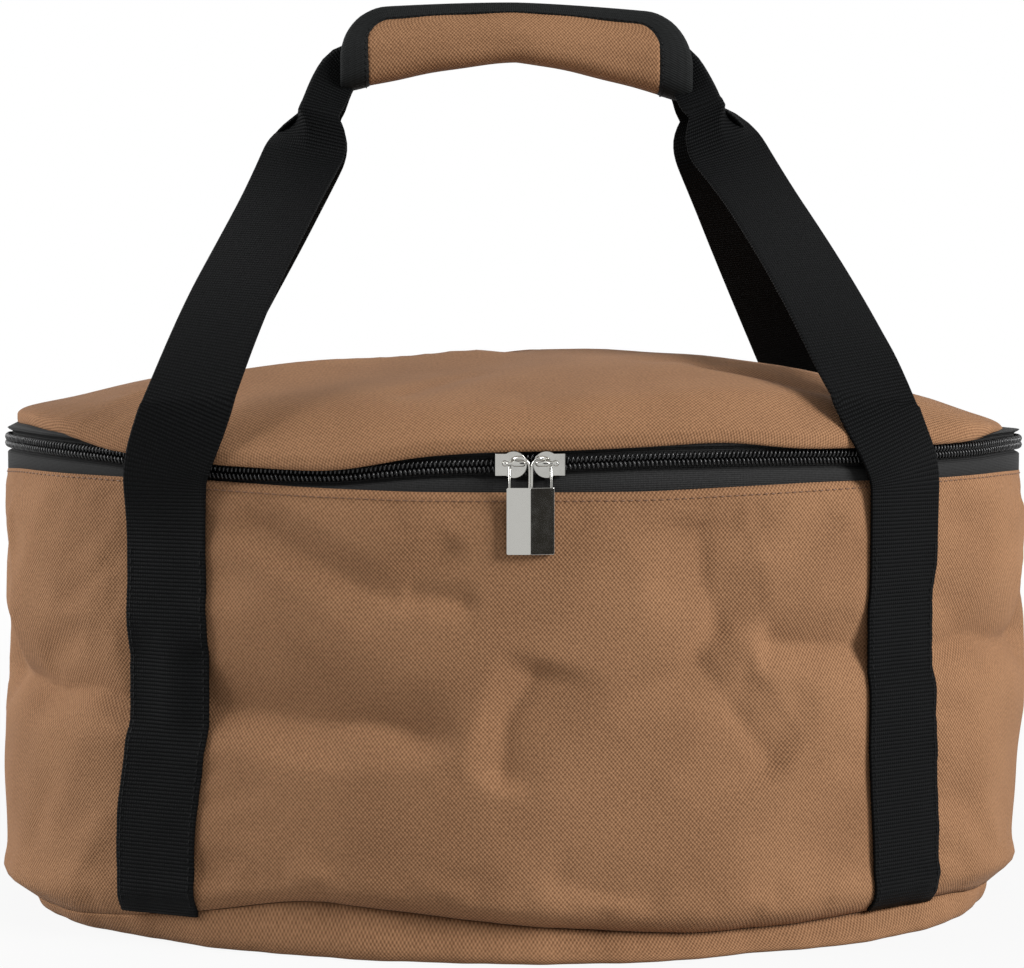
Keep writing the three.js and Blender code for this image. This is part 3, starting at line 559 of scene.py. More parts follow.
def settle(points, sewn, cloth):
    # a short cloth simulation on a coarse copy: how far each point moves, held back to the cap
    rows, cols = points.shape[:2]
    mesh = bpy.data.meshes.new("settling")
    mesh.from_pydata((points * mm).reshape(-1, 3).tolist(), [], gridQuads(rows, cols, True)[0].tolist())
    trial = addObject("settling", mesh)
    group = trial.vertex_groups.new(name="sewn")
    for index, weight in enumerate(sewn.ravel()):
        if weight > 0:
            group.add([index], float(weight), "REPLACE")
    worker = trial.modifiers.new("settling", "CLOTH")
    worker.point_cache.frame_start, worker.point_cache.frame_end = 1, cloth["steps"]
    rules = worker.settings
    rules.quality, rules.mass, rules.air_damping = cloth["quality"], cloth["mass"], cloth["damping"]
    rules.tension_stiffness = rules.compression_stiffness = cloth["stretch"]
    rules.shear_stiffness, rules.bending_stiffness = cloth["shear"], cloth["bending"]
    rules.vertex_group_mass, rules.shrink_min = "sewn", -cloth["slack"]
    rules.use_pressure, rules.uniform_pressure_force = True, cloth["pressure"]
    rules.effector_weights.gravity = 0
    worker.collision_settings.use_collision = False
    for step in range(1, cloth["steps"] + 1):
        bpy.context.scene.frame_set(step)
    settled = trial.evaluated_get(bpy.context.evaluated_depsgraph_get())
    places = np.empty(rows * cols * 3)
    settled.data.vertices.foreach_get("co", places)
    bpy.data.objects.remove(trial)
    bpy.context.scene.frame_set(1)
    moved = places.reshape(points.shape) / mm - points
    far = np.linalg.norm(moved, axis=-1, keepdims=True)
    return moved * np.minimum(1, cloth["cap"] / np.maximum(far, 1e-9))


def settleWall():  # sewn at the hem, at the base seam and under the straps
    girth = np.linspace(-halfGirth, halfGirth, wall["trialCols"] + 1)[:-1]
    share = np.linspace(0, 1, wall["trialRows"])[:, None]
    low = seamHeight(girth)
    z = low + (hemHeight(girth) - low) * share
    points = wallPoints(np.broadcast_to(girth, z.shape), z)
    sewn = np.zeros(points.shape[:2])
    sewn[[0, 1, -2, -1]] = 1
    for acrossSign in (1, -1):
        for depthSign in (1, -1):
            gap = wrapGirth(girth - quarterGirth(strapMiddle, acrossSign, depthSign))
            sewn[:, np.abs(gap) < webbing["width"] / 2 + 1] = 1
    return (settle(points, sewn, wall["cloth"]) * surfaceNormals(points, True)).sum(-1)


def settledAt(table, girth, share):
    rows, cols = table.shape
    col = (np.asarray(girth, float) + halfGirth) / (2 * halfGirth) * cols
    row = np.clip(share, 0, 1) * (rows - 1)
    c, r = np.floor(col).astype(int), np.minimum(np.floor(row).astype(int), rows - 2)
    dc, dr = col - c, row - r
    top = table[r, c % cols] * (1 - dc) + table[r, (c + 1) % cols] * dc
    bottom = table[r + 1, c % cols] * (1 - dc) + table[r + 1, (c + 1) % cols] * dc
    return top * (1 - dr) + bottom * dr


def makeWall():
    girth = np.linspace(-halfGirth, halfGirth, wall["cols"] + 1)
    low = seamHeight(girth[:-1]) + wall["seamGap"]
    hem = hemHeight(girth[:-1])
    z = low + (hem - low) * np.linspace(0, 1, wall["rows"])[:, None]
    g = np.broadcast_to(girth[:-1], z.shape)
    fold = wall["hemFold"]
    offset = wallOffset(g, z) - fold * np.clip((z - hem + fold) / fold, 0, 1) ** 2  # the hem's folded edge
    inner = ovalPoints(g, -wall["padding"] + innerPress(g, z), z)
    piece = shell("wallCloth", ovalPoints(g, offset, z), inner, True, girth, closeGrid(z), camelCloth)
    dress(piece, "bag_body", "cloth", "front_wall", "back_wall", "wall_padding")
    row = np.linspace(-halfGirth, halfGirth, 800)
    line = wallPoints(row, hemHeight(row) - wall["stitchDrop"], wall["stitchLift"])
    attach(sew("hemStitches", [line], camelThread, wall["stitch"]), "bag_body")


base = {"roll": 5.5, "rollRows": 12, "bulge": 0.45, "bulgeTurn": 1.1, "cloth": 0.9, "halfDepth": 110,
        "rings": (0.93, 0.8, 0.6, 0.4, 0.2, nearPoint),
        "forward": [(-260, 0), (-200, -1), (-150, -3.5), (-115, 0), (-60, 3), (0, 5.5), (35, 8), (60, 6.5),
                    (80, 5), (105, 8.5), (125, 8.5), (148, 6), (170, 2), (190, 0), (230, 0)]}


def makeBase():
    girth = np.linspace(-halfGirth, halfGirth, wall["cols"] + 1)
    g = girth[:-1]
    top = seamHeight(g)
    rows, lengths = [], []
    lean = wallOffset(g, top)
    forward = tableAt(base["forward"], g, 14)
    for turn in np.linspace(0, math.pi / 2, base["rollRows"]):  # from the seam down round the roll
        # it comes forward again below the seam
        bulge = seamTuck(g) * base["bulge"] * float(smooth(turn / base["bulgeTurn"]))
        reach = lean + bulge + forward * math.sin(turn) - base["roll"] * (1 - math.cos(turn))
        rows.append(ovalPoints(g, reach, top * (1 - math.sin(turn))))
        lengths.append(bag["roll"] * turn)
    edge, edgeLength = rows[-1], lengths[-1]
    for share in base["rings"]:
        rows.append(edge * [share, share, 1])
        lengths.append(edgeLength + (1 - share) * base["halfDepth"])
    outer = np.array(rows)[::-1]
    inner = outer - surfaceNormals(outer, True) * base["cloth"]
    inner[..., 2] = np.maximum(inner[..., 2], base["cloth"])
    piece = shell("basePanelCloth", outer, inner, True, girth, np.array(lengths)[::-1], camelCloth)
    dress(piece, "bag_body", "cloth", "base_panel")


wallSettled = np.zeros((2, 4))
wallSettled = settleWall()
print("wall settled by", *(round(float(far), 2) for far in (wallSettled.min(), wallSettled.max())), "mm")
makeWall()
makeBase()
print("wall and base made")


# folds are at (x, y) places on the lid; the crown's heights run along x
lid = {"rows": 46, "edgeRows": 20, "cols": 420, "padding": 5.0, "cloth": 0.9, "overhang": 0.36,
       "overhangRun": 0.22, "inset": {1: 7.5, -1: 5.0}, "fuller": {1: 0.1, -1: 0.35},
       "sunk": {1: 0.85, -1: 0.1}, "skirt": 0.06, "edgeRun": 0.4, "crownRun": 0.14, "heldRun": 0.22,
       "innerSoft": 0.6, "pleat": 0.28, "turnUnder": 0.004, "underRun": 0.02, "paddingRun": 0.12,
       "edgeShare": 0.3, "lastShare": 0.9997, "endFrom": 160, "endRun": 55, "endTo": 400, "endFade": 80,
       "crown": [(-188, -1), (-140, 0.4), (-100, -0.8), (-50, -0.5), (0, 1.9), (60, 4), (100, 3.7),
                 (140, 1.4), (165, -0.4), (188, -2.5)],
       "folds": [((-150, -62), (-8, -21), -3.4, (14, 16, 1.5), (30, 34, 1.4)),
                 ((-140, -38), (-4, -8), 3.4, (24, 24, 1.5), (15, 17, 1.5)),
                 ((40, -60), (120, -40), 1.2, (12, 12, 1.5), (12, 12, 1.5)),
                 ((-44, -94), (-14, -66), 1.2, (9, 9, 1.5), (12, 12, 1.5)),
                 ((60, -60), (110, -82), 2.0, (8, 8, 1.2), (9, 9, 1.2)),
                 ((72, -48), (122, -68), -1.6, (8, 8, 1.2), (9, 9, 1.2)),
                 ((60, 40), (-60, 62), 1.6, (18, 18, 1.5), (18, 18, 1.5))],
       "waves": [(120, 0.4, 0.6, 0.7), (64, 1.9, 2.2, 0.35), (37, 2.6, 1.0, 0.16)]}


def lidEnd(girth):  # 1 round the ends of the lid, 0 along its front and back
    side = np.abs(girth)
    return smooth((side - lid["endFrom"]) / lid["endRun"]) * smooth((lid["endTo"] - side) / lid["endFade"])


def bySide(kind, girth):
    return np.where(np.asarray(girth) > 0, lid[kind][1], lid[kind][-1]) * lidEnd(girth)


def lidShape(girth, share, offset):
    # share runs from 0 at the lid's lower edge, up the skirt, to 1 at the crown
    lift = softEdge("lid", girth)
    up = np.clip(share / lid["skirt"], 0, 1)
    turn = np.clip((share - lid["skirt"]) / (1 - lid["skirt"]), 0, 1)
    scale = np.cos(turn * math.pi / 2) ** 0.9
    hang = lid["overhang"] * np.maximum(-lift, 0) * (1 - smooth(share / lid["overhangRun"]))
    flat = ovalPoints(girth, offset - bySide("inset", girth) + hang, 0)  # the ends stand back behind the zip
    x, y = flat[..., 0] * scale, flat[..., 1] * scale
    skirtRise = (bag["lidShoulder"] - bag["lidEdge"]) * (1 - bySide("sunk", girth))
    z = bag["lidEdge"] + skirtRise * up + lift * (1 - smooth(share / lid["edgeRun"]))
    full = bag["domeFullness"] + bySide("fuller", girth)
    z = z + (bag["lidRise"] + offset) * np.clip(1 - scale**2, 0, 1) ** (1 / full)
    z = z + tableAt(lid["crown"], x, 14) * smooth((1 - scale) / lid["crownRun"])
    return x, y, z, scale


def lidSoft(girth, x, y, scale):
    soft = ripple(x, y, lid["waves"])
    for fold in lid["folds"]:
        soft = soft + crease(x, y, fold)
    # small gathers beside the zip, uneven along its length
    pleats = np.sin(girth * 0.74 + 2 * np.sin(girth * 0.05)) * (0.5 + 0.5 * np.sin(girth * 0.031))
    gathered = lid["pleat"] * pleats * np.exp(-((1 - scale) / 0.06)) * smooth((1 - scale) / 0.01)
    return soft * smooth((1 - scale) / lid["heldRun"]) + gathered


def lidUv(points):  # keeps lengths down the slope, so that threads don't stretch at the rim
    steps = np.linalg.norm(np.diff(points, axis=0), axis=-1)
    length = np.concatenate([np.cumsum(steps[::-1], 0)[::-1], np.zeros((1, points.shape[1]))])
    length = length + np.linalg.norm(points[-1, :, :2], axis=-1)
    reach = np.maximum(np.linalg.norm(points[..., :2], axis=-1), 1e-6)
    uv = closeGrid(points[..., :2] * (length / reach)[..., None])
    return uv[..., 0], uv[..., 1]


def makeLid():
    girth = np.linspace(-halfGirth, halfGirth, lid["cols"] + 1)[:-1]
    edgeRows = lid["edgeRows"]  # closer together near the zip
    upper = np.linspace(lid["edgeShare"], lid["lastShare"], lid["rows"] - edgeRows + 1)[1:]
    share = np.concatenate([np.linspace(0, lid["edgeShare"], edgeRows), upper])[:, None]
    g = np.broadcast_to(girth, (len(share), lid["cols"]))
    grids = []
    for depth, cloth, softShare in ((0, 0, 1), (lid["padding"], lid["cloth"], lid["innerSoft"])):
        offset = -depth * smooth(share / lid["paddingRun"]) - cloth  # only cloth at the lower edge
        x, y, z, scale = lidShape(g, share, offset)
        grids.append(np.stack([x, y, z + lidSoft(g, x, y, scale) * softShare], -1))
    outer, inner = grids
    under = lid["turnUnder"] * smooth(1 - share / lid["underRun"])  # the cloth turns under at the zip
    outer[..., :2] *= 1 - under[..., None]
    piece = shell("lidCloth", outer, inner, True, *lidUv(outer), camelCloth)
    dress(piece, "lid", "cloth", "lid_panel", "lid_padding")


makeLid()
print("lid made")


# offsets are from the bag's oval, outer face first
lining = {"rows": 40, "cols": 300, "foot": 5.6, "short": 5.8, "offsets": (-6.5, -7.0), "held": 12,
          "mostSlack": 0.6, "waveDepth": 0.25,
          "waves": [(61, 0.3, 0, 1), (33, 1.4, 1, 0.7), (17, 2.4, 2, 0.4)],
          "floorOffset": -7.9, "floorLevel": 5.2, "floorThick": 0.6, "floorRings": 24, "floorDepth": 0.12,
          "floorWaves": [(70, 0.8, 0, 1), (41, 2, 1, 1)], "roofOffsets": (-6.45, -7.0), "roofDrop": 0.1}
seamBinding = {"offsets": (-7.7, -8.5), "levels": (5.7, 17.5), "rows": 7, "width": 12}
board = {"inset": -9.0, "level": (1.2, 4.2), "clear": 5.5, "rings": 6}
liningEdge = np.linspace(-halfGirth, halfGirth, lining["cols"] + 1)
liningGirth = liningEdge[:-1]


def ovalDisc(edge, level, rings):  # a level disc inside an oval edge
    disc = edge * np.linspace(1, nearPoint, rings)[:, None, None]
    disc[..., 2] = level
    return disc


def flatUv(disc):
    return closeGrid(disc[..., 0]), closeGrid(disc[..., 1])


def makeWallLining():
    hem = hemHeight(liningGirth)
    z = lining["foot"] + (hem - lining["short"]) * np.linspace(0, 1, lining["rows"])[:, None]
    g = np.broadcast_to(liningGirth, z.shape)
    wave = np.clip(lining["waveDepth"] * ripple(g, z, lining["waves"]), -lining["mostSlack"], 0)
    wave = wave * smooth((hem - z) / lining["held"]) + innerPress(g, z)
    outer, inner = (ovalPoints(g, offset + wave, z) for offset in lining["offsets"])
    piece = shell("wallLiningCloth", outer, inner, True, liningEdge, closeGrid(z), liningCloth)
    dress(piece, "bag_body", "lining", "wall_lining")


def makeSeamBinding():
    rows = seamBinding["rows"]
    g, z = np.broadcast_arrays(liningGirth, np.linspace(*seamBinding["levels"], rows)[:, None])
    press = innerPress(g, z)
    outer, inner = (ovalPoints(g, offset + press, z) for offset in seamBinding["offsets"])
    across = np.linspace(0, seamBinding["width"], rows)
    piece = shell("baseSeamBinding", outer, inner, True, liningEdge, across, blackBinding)
    dress(piece, "bag_body", "binding", "base_seam_tape")


def makeBaseLining():
    level = lining["floorLevel"]
    press = innerPress(liningGirth, np.full_like(liningGirth, level))
    top = ovalDisc(ovalPoints(liningGirth, lining["floorOffset"] + press, 0), level, lining["floorRings"])
    waves = ripple(top[..., 0], top[..., 1], lining["floorWaves"])
    top[..., 2] += np.clip(lining["floorDepth"] * waves, -0.2, 0)
    under = top - [0, 0, lining["floorThick"]]
    piece = shell("baseLiningCloth", top, under, True, *flatUv(top), liningCloth)
    dress(piece, "bag_body", "lining", "base_lining")


def makeBoard():  # its edge clears the drawn-in ends
    low, high = board["level"]
    room = wallOffset(liningGirth, np.full_like(liningGirth, low)) + seamTuck(liningGirth) - board["clear"]
    edge = ovalPoints(liningGirth, np.minimum(room, board["inset"]), 0)
    top, bottom = (ovalDisc(edge, level, board["rings"]) for level in (high, low))
    piece = shell("baseBoard", top, bottom, True, *flatUv(top), boardPlastic)
    dress(piece, "bag_body", "board", "base_board")


def makeLidLining():
    share = np.linspace(0, lid["lastShare"], lining["rows"])[:, None]
    g = np.broadcast_to(liningGirth, (lining["rows"], lining["cols"]))
    grids = []
    for offset in lining["roofOffsets"]:
        x, y, z, scale = lidShape(g, share, offset)
        soft = lidSoft(g, x, y, scale) * lid["innerSoft"]
        grids.append(np.stack([x, y, z + soft - lining["roofDrop"]], -1))
    piece = shell("lidLiningCloth", *grids, True, *lidUv(grids[0]), liningCloth)
    dress(piece, "lid", "lining", "lid_lining")


makeWallLining()
makeSeamBinding()
makeBaseLining()
makeBoard()
makeLidLining()
print("linings made")


# the left slider and pull, along the zip from the middle, and level with the zip; the right ones mirror them
slider = {"shift": -1.6, "nose": -1.0, "long": 10.3, "noseHalf": 4.3, "tailHalf": 3.55, "height": 164.1,
          "frontPlate": (-121.4, -120.3), "backPlate": (-116.4, -115.6), "rod": -123.6, "rodRise": 0.5,
          "rodShape": [(0.7, 0.3), (0.8, 0.7), (1.2, 1.0), (4.4, 1.0), (5.0, 0.5), (6.4, 0.5), (6.6, 0.8),
                       (7.2, 0.95), (7.8, 0.8), (8.1, 0.3)],
          "posts": [(1.7, 3.4), (6.8, 7.6)], "postHalf": 0.6, "flange": 0.9, "flangeDeep": 1.3,
          "flangeFrom": 5.0, "neck": (0.7, 3.0), "neckHalf": 1.0, "sunk": 0.1, "noseTurn": 2.17, "bevel": 0.2}
pull = {"left": -7.75, "right": 0.15, "bottom": 135.2, "top": 156.8, "depth": -123.5, "thick": 0.95,
        "corner": 0.35, "wire": 0.46, "turn": {-1: -3.0, 1: 10.0},
        "ring": [(-6.75, -123.5, 156.2), (-6.75, -123.4, 158.5), (-6.7, -122.9, 161.5), (-6.6, -122.3, 163.8),
                 (-6.0, -122.6, 165.6), (-4.8, -123.9, 166.3), (-3.2, -124.8, 166.4), (-1.6, -125.1, 165.8),
                 (-0.6, -125.0, 164.4), (-0.35, -124.7, 162.4), (-0.35, -124.1, 159.6),
                 (-0.35, -123.6, 157.6), (-0.35, -123.5, 156.2)]}
# the tape's rows run away from the zip's middle, each at its own depth behind the bag's oval
zipper = {"coilWide": 2.85, "coilDeep": 2.6, "wire": 0.36, "pitch": 1.5, "gap": -0.3, "parting": 1.2,
          "partFrom": 4.5, "partTo": 6.0, "cols": 420, "nearHalf": 9, "nearCols": 40, "bulge": 1.0,
          "bulgeFrom": 90, "bulgeRun": 70, "bulgeFade": 80, "coilOffset": -1.5, "tapeThick": 0.6,
          "tapeFrom": 0.1,
          "tapeRows": (0, 1.2, 2.4, 3.1, 3.5, 3.9, 4.3),
          "tapeDepths": (-3.2, -3.2, -3.2, -3.0, -2.4, -1.6, -1.2, -1.2), "hemLap": 3.5, "lidLap": 0.6,
          "lidReach": 1.5}
hinge = {"rows": 14, "cols": 90, "gap": 0.4, "sag": 0.8, "cloth": 0.9}
hingeHalf = frontGirth(bag["hinge"] / 2)
zipHalf = halfGirth - hingeHalf


def zipPlace(girth, height, offset):
    # the zip stands a little proud round the ends, where the bag is full
    side = np.abs(girth)
    proud = zipper["bulge"] * smooth((side - zipper["bulgeFrom"]) / zipper["bulgeRun"])
    proud = proud * smooth((zipHalf - side) / zipper["bulgeFade"])
    return ovalPoints(girth, offset + proud - topLean(girth), height)


def zipParting(girth):
    away = zipper["partTo"] - np.abs(girth - slider["shift"])
    return zipper["parting"] * np.clip(away / (zipper["partTo"] - zipper["partFrom"]), 0, 1)


def makeZip():
    atSliders = np.linspace(-zipper["nearHalf"], zipper["nearHalf"], zipper["nearCols"])
    girth = np.unique(np.concatenate([np.linspace(-zipHalf, zipHalf, zipper["cols"]), atSliders]))
    parting = zipParting(girth)
    rise = softEdge("zip", girth)
    hemLap = hemHeight(girth) - zipper["hemLap"]
    lidLap = bag["lidEdge"] + softEdge("lid", girth) + zipper["lidLap"]
    wire = zipper["wire"]
    for side, name, body, far in ((-1, "lower", "bag_body", hemLap), (1, "upper", "lid", lidLap)):
        middle = bag["zip"] + rise + side * (zipper["gap"] + zipper["coilWide"] / 2 + parting)
        mesh = girth + (zipper["pitch"] / 2 if side > 0 else 0)  # half a turn along, so that the turns mesh
        coil = runTree(name + "ZipCoil", [zipPlace(mesh, middle, zipper["coilOffset"])], winding, {
            "Pitch": zipper["pitch"] * mm, "Wide": side * (zipper["coilWide"] / 2 - wire) * mm,
            "Deep": (zipper["coilDeep"] / 2 - wire) * mm, "Wire": wire * mm, "Material": coilNylon})
        dress(coil, body, "zip_coil", name + "_zip_coil")
        # the tape passes behind its coil, and comes forward again beyond it
        near = bag["zip"] + rise + side * (zipper["tapeFrom"] + parting)
        z = np.concatenate([near + side * np.array(zipper["tapeRows"])[:, None], far[None]])
        z[:-1] = np.where((z[:-1] - far) * side > 0, far, z[:-1])
        back = np.array(zipper["tapeDepths"])[:, None] + np.zeros_like(girth)
        lengths = girth
        if side > 0:  # leans back to the lid's edge at the ends
            back[-1] -= np.clip(bySide("inset", girth) - zipper["lidReach"], 0, None)
        faces = [zipPlace(girth, z, back - thick)[::-1] for thick in (0, zipper["tapeThick"])]
        if side > 0:  # the rows run upwards here
            faces, lengths = [face[:, ::-1] for face in faces], girth[::-1]
        tape = shell(name + "ZipTape", *faces, False, lengths, z.mean(1)[::-1], zipTapeLook)
        dress(tape, body, "zip_tape", name + "_zip_tape")


def makeHinge():
    girth = np.linspace(zipHalf + hinge["gap"], halfGirth + hingeHalf - hinge["gap"], hinge["cols"])
    low, high = hemHeight(girth), bag["lidEdge"] + softEdge("lid", girth)
    z = low + (high - low) * np.linspace(0, 1, hinge["rows"])[:, None]
    sag = -hinge["sag"] * np.sin(np.linspace(0, math.pi, hinge["rows"]))[:, None]
    outer, inner = ovalPoints(girth, sag, z), ovalPoints(girth, sag - hinge["cloth"], z)
    piece = shell("lidHingeCloth", outer, inner, False, girth, z, camelCloth)
    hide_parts("lid_hinge_cloth")
    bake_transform(piece)


makeZip()
makeHinge()
print("zip made")


def platePart(outline, front, back):
    return loftPart(np.array([[(x, y, z) for x, z in outline] for y in (front, back)]))


def blockPart(x, y, z):
    return platePart([(x[0], z[0]), (x[1], z[0]), (x[1], z[1]), (x[0], z[1])], *y)


def turnedPart(profile, y, z):  # a turned rod along the zip, from (distance, radius) pairs
    turn = np.linspace(0, 2 * math.pi, 17)[:-1]
    rings = [np.stack([np.full(16, x), y + r * np.cos(turn), z + r * np.sin(turn)], -1) for x, r in profile]
    return loftPart(np.array(rings))


def wirePart(path, radius):
    ahead = np.gradient(path, axis=0)
    ahead /= np.linalg.norm(ahead, axis=1, keepdims=True)
    aside = np.cross(ahead, [0, 1, 0.2])
    aside /= np.linalg.norm(aside, axis=1, keepdims=True)
    up = np.cross(ahead, aside)
    turn = np.linspace(0, 2 * math.pi, 13)[:-1, None]
    return loftPart(path[:, None] + radius * (aside[:, None] * np.cos(turn) + up[:, None] * np.sin(turn)))


def smoothRun(points):  # a smooth line through all the points
    points = np.asarray(points, float)
    ends = np.concatenate([[2 * points[0] - points[1]], points, [2 * points[-1] - points[-2]]])
    t = np.linspace(0, 1, 9)[:-1, None]
    runs = [0.5 * (2 * b + (c - a) * t + (2 * a - 5 * b + 4 * c - d) * t**2 + (3 * b - a - 3 * c + d) * t**3)
            for a, b, c, d in zip(ends, ends[1:], ends[2:], ends[3:])]
    return np.concatenate(runs + [points[-1:]])


def sliderParts():
    nose, half, tail, middle = slider["nose"], slider["noseHalf"], slider["tailHalf"], slider["height"]
    (front, face), (behind, _), sunk = slider["frontPlate"], slider["backPlate"], slider["sunk"]
    turn = np.linspace(0, slider["noseTurn"], 22)
    at = np.append(half * (1 - np.cos(turn)), slider["long"])
    tall = np.append(half * np.sin(turn), tail)
    tall[-2] = tail
    upper = np.stack([nose - at, middle + tall], -1)
    outline = np.concatenate([upper, np.stack([nose - at, middle - tall], -1)[:0:-1]])
    parts = [platePart(outline, *slider["frontPlate"]), platePart(outline, *slider["backPlate"])]
    for side in (1, -1):  # flanges that hold the coils in
        z = sorted((middle + side * (tail - slider["flange"]), middle + side * tail))
        parts.append(blockPart((nose - slider["long"], nose - slider["flangeFrom"]),
                               (face - sunk, face + slider["flangeDeep"]), z))
    near, far = slider["neck"]
    parts.append(blockPart((nose - far, nose - near), (face - sunk, behind + sunk),
                           (middle - slider["neckHalf"], middle + slider["neckHalf"])))
    rod, level = slider["rod"], middle + slider["rodRise"]
    parts.append(turnedPart([(nose - a, r) for a, r in slider["rodShape"]], rod, level))
    for a, b in slider["posts"]:
        parts.append(blockPart((nose - b, nose - a), (rod, front + sunk),
                               (level - slider["postHalf"], level + slider["postHalf"])))
    return parts


def pullParts():
    left, right, y, half = pull["left"], pull["right"], pull["depth"], pull["thick"] / 2
    low, high, cut = pull["bottom"], pull["top"], pull["corner"]
    outline = [(left, low + cut), (left + cut, low), (right - cut, low), (right, low + cut),
               (right, high - cut), (right - cut, high), (left + cut, high), (left, high - cut)]
    return [platePart(outline, y - half, y + half), wirePart(smoothRun(pull["ring"]), pull["wire"])]


def makeHardware():
    for side, word in ((-1, "left"), (1, "right")):
        for kind, parts in (("slider", sliderParts()), ("pull", pullParts())):
            points, faces = [], []
            for places, polygons in parts:
                start = sum(len(p) for p in points)
                points.append(places * [-side, 1, 1])
                faces += [[start + i for i in polygon] for polygon in polygons]
            points = np.concatenate(points)
            if kind == "pull":  # each hangs at its own slight angle
                lean = math.tan(math.radians(pull["turn"][side]))
                points[:, 1] += lean * (points[:, 0] - points[:, 0].mean())
            points = points + [slider["shift"], 0, 0]
            piece = finishMesh(f"{word}{kind.title()}Metal", points, faces, None, nickelPlate)
            bevel = piece.modifiers.new("edges", "BEVEL")
            bevel.width, bevel.segments = slider["bevel"] * mm, 2
            bevel.limit_method, bevel.angle_limit = "ANGLE", math.radians(40)
            bevel.harden_normals = True
            dress(piece, f"{word}_{kind}", "nickel", f"{word}_{kind}")


makeHardware()
print("sliders and pulls made")


# the fold is the grip's lower edge; the neck is where its two sides close on each other
grip = {"half": 64.5, "height": 26.5, "fold": 306.8, "top": 328, "foldDroop": 13, "topDroop": 3.6,
        "tilt": 1.8, "droop": 12, "strapTop": 315.5, "strapGap": 0.3, "plyGap": 0.15,
        "endBinding": {1: 13.2, -1: 11.0}, "topBinding": 5.4, "outerCorner": 17, "innerCorner": 7,
        "panelCorner": 7.5, "past": 0.2, "lap": 1, "panel": 2.2, "puff": 0.35, "ripple": 0.12,
        "belly": 6.2, "corner": 5.6, "neckLow": 9, "neckTop": 24.5, "neckPull": 6, "neckEase": (1.2, 7),
        "closed": 2.15, "foldGap": 0.15,
        "tapeProud": 0.55, "tapeWidth": 15, "stitchShare": 0.16, "stitch": (2.6, 2.0, 0.5),
        "waves": [(23, 0.4, 0, 1), (13, 1.3, 1, 0.6)], "stripHalf": 52, "stripFrom": 7.4, "stripTo": 1.4,
        "stripThick": 0.7}
# how far a folded strap's middle stands from the plane where the two loops meet
strapMeet = grip["strapGap"] + (2 * webbing["thickness"] + grip["plyGap"]) / 2


def bezier(points, count):
    t = np.linspace(0, 1, count)[:, None]
    level = [np.asarray(p, float) for p in points]
    while len(level) > 1:
        level = [a + (b - a) * t for a, b in zip(level, level[1:])]
    return level[0]


def joinPath(*parts):
    path = np.concatenate([parts[0], *[p[1:] for p in parts[1:]]])
    return path, runningLength(path)


def along(path, lengths, at):
    return np.stack([np.interp(at, lengths, path[:, i]) for i in range(path.shape[1])], -1)


def legOf(acrossSign, depthSign):
    return "back" if depthSign < 0 else "left" if acrossSign < 0 else "right"


def strapSway(z, acrossSign, depthSign):  # the legs aren't quite upright, and those at the back stand wider
    leg = legOf(acrossSign, depthSign)
    foot, run = webbing["swayRise"][leg]
    share = smooth((z - foot) / run)
    if leg == "right":
        return webbing["rightSway"] + webbing["rightFoot"] * (1 - share)
    return (webbing["leftSway"] if leg == "left" else webbing["backSway"][acrossSign]) * share


def strapSide(acrossSign):  # the free strap as seen from the end of the bag: (distance out, height)
    yaw, half = math.radians(webbing["yaw"][acrossSign]), webbing["width"] / 2
    inner = webbing["spread"] + strapSway(webbing["sewnTop"], acrossSign, 1) - half * math.cos(yaw)
    onWall = ovalPoints(frontGirth(inner), webbing["lift"] + webbing["standOff"], 0)
    footOut = -onWall[1] - half * math.sin(yaw)
    bendZ = webbing["sewnTop"] + webbing["upright"]
    gripFoot = grip["strapTop"] - grip["droop"] - webbing["foldedWidth"]
    rise = gripFoot - bendZ
    leaned = footOut + (strapMeet - footOut) * webbing["reach"]
    curve = [(footOut, bendZ), (leaned, bendZ + webbing["low"] * rise),
             (strapMeet, bendZ + webbing["high"] * rise), (strapMeet, gripFoot)]
    return joinPath(np.array([[footOut, webbing["sewnTop"]], [footOut, bendZ]]), bezier(curve, 80),
                    np.array([[strapMeet, gripFoot], [strapMeet, grip["strapTop"] + webbing["foldedWidth"]]]))


def strapFlat(acrossSign, depthSign, side):
    # its middle line laid out flat: (distance across, run up the side view)
    topRun = side[1][-1] - webbing["foldedWidth"]
    leave = grip["half"] + webbing["exit"][acrossSign]
    droop = grip["droop"] * (leave / grip["half"]) ** 2
    bend = np.array([webbing["spread"], webbing["rise"][acrossSign]])
    gripEnd = np.array([leave, topRun - droop])
    shoulder = gripEnd + np.array([1, -2 * droop / leave]) * webbing["shoulderReach"]
    foot = shoulder + (bend - shoulder) / np.linalg.norm(bend - shoulder) * webbing["shoulderRun"]
    runs = np.linspace(bend[1], foot[1], 40)
    heights = np.interp(runs, side[1], side[0][:, 1])
    share = (heights - heights[0]) / (heights[-1] - heights[0])
    # straight as seen from the front, but for a bow that is greatest two thirds of the way up
    bow = webbing["bow"][acrossSign] * max(depthSign, 0) * 27 / 4 * share**2 * (1 - share)
    leaning = np.stack([bend[0] + (foot[0] - bend[0]) * share + bow, runs], -1)
    upright = np.stack([np.full(12, bend[0]), np.linspace(0, bend[1], 12)], -1)
    lower = np.concatenate([upright, leaning[1:]])
    for _ in range(4):  # rounds the corner at the bend
        lower[1:-1] = (lower[:-2] + 2 * lower[1:-1] + lower[2:]) / 4
    return joinPath(lower, bezier([foot, shoulder, gripEnd], 30),
                    bezier([gripEnd, (leave / 2, topRun), (0, topRun)], webbing["gripSteps"]))


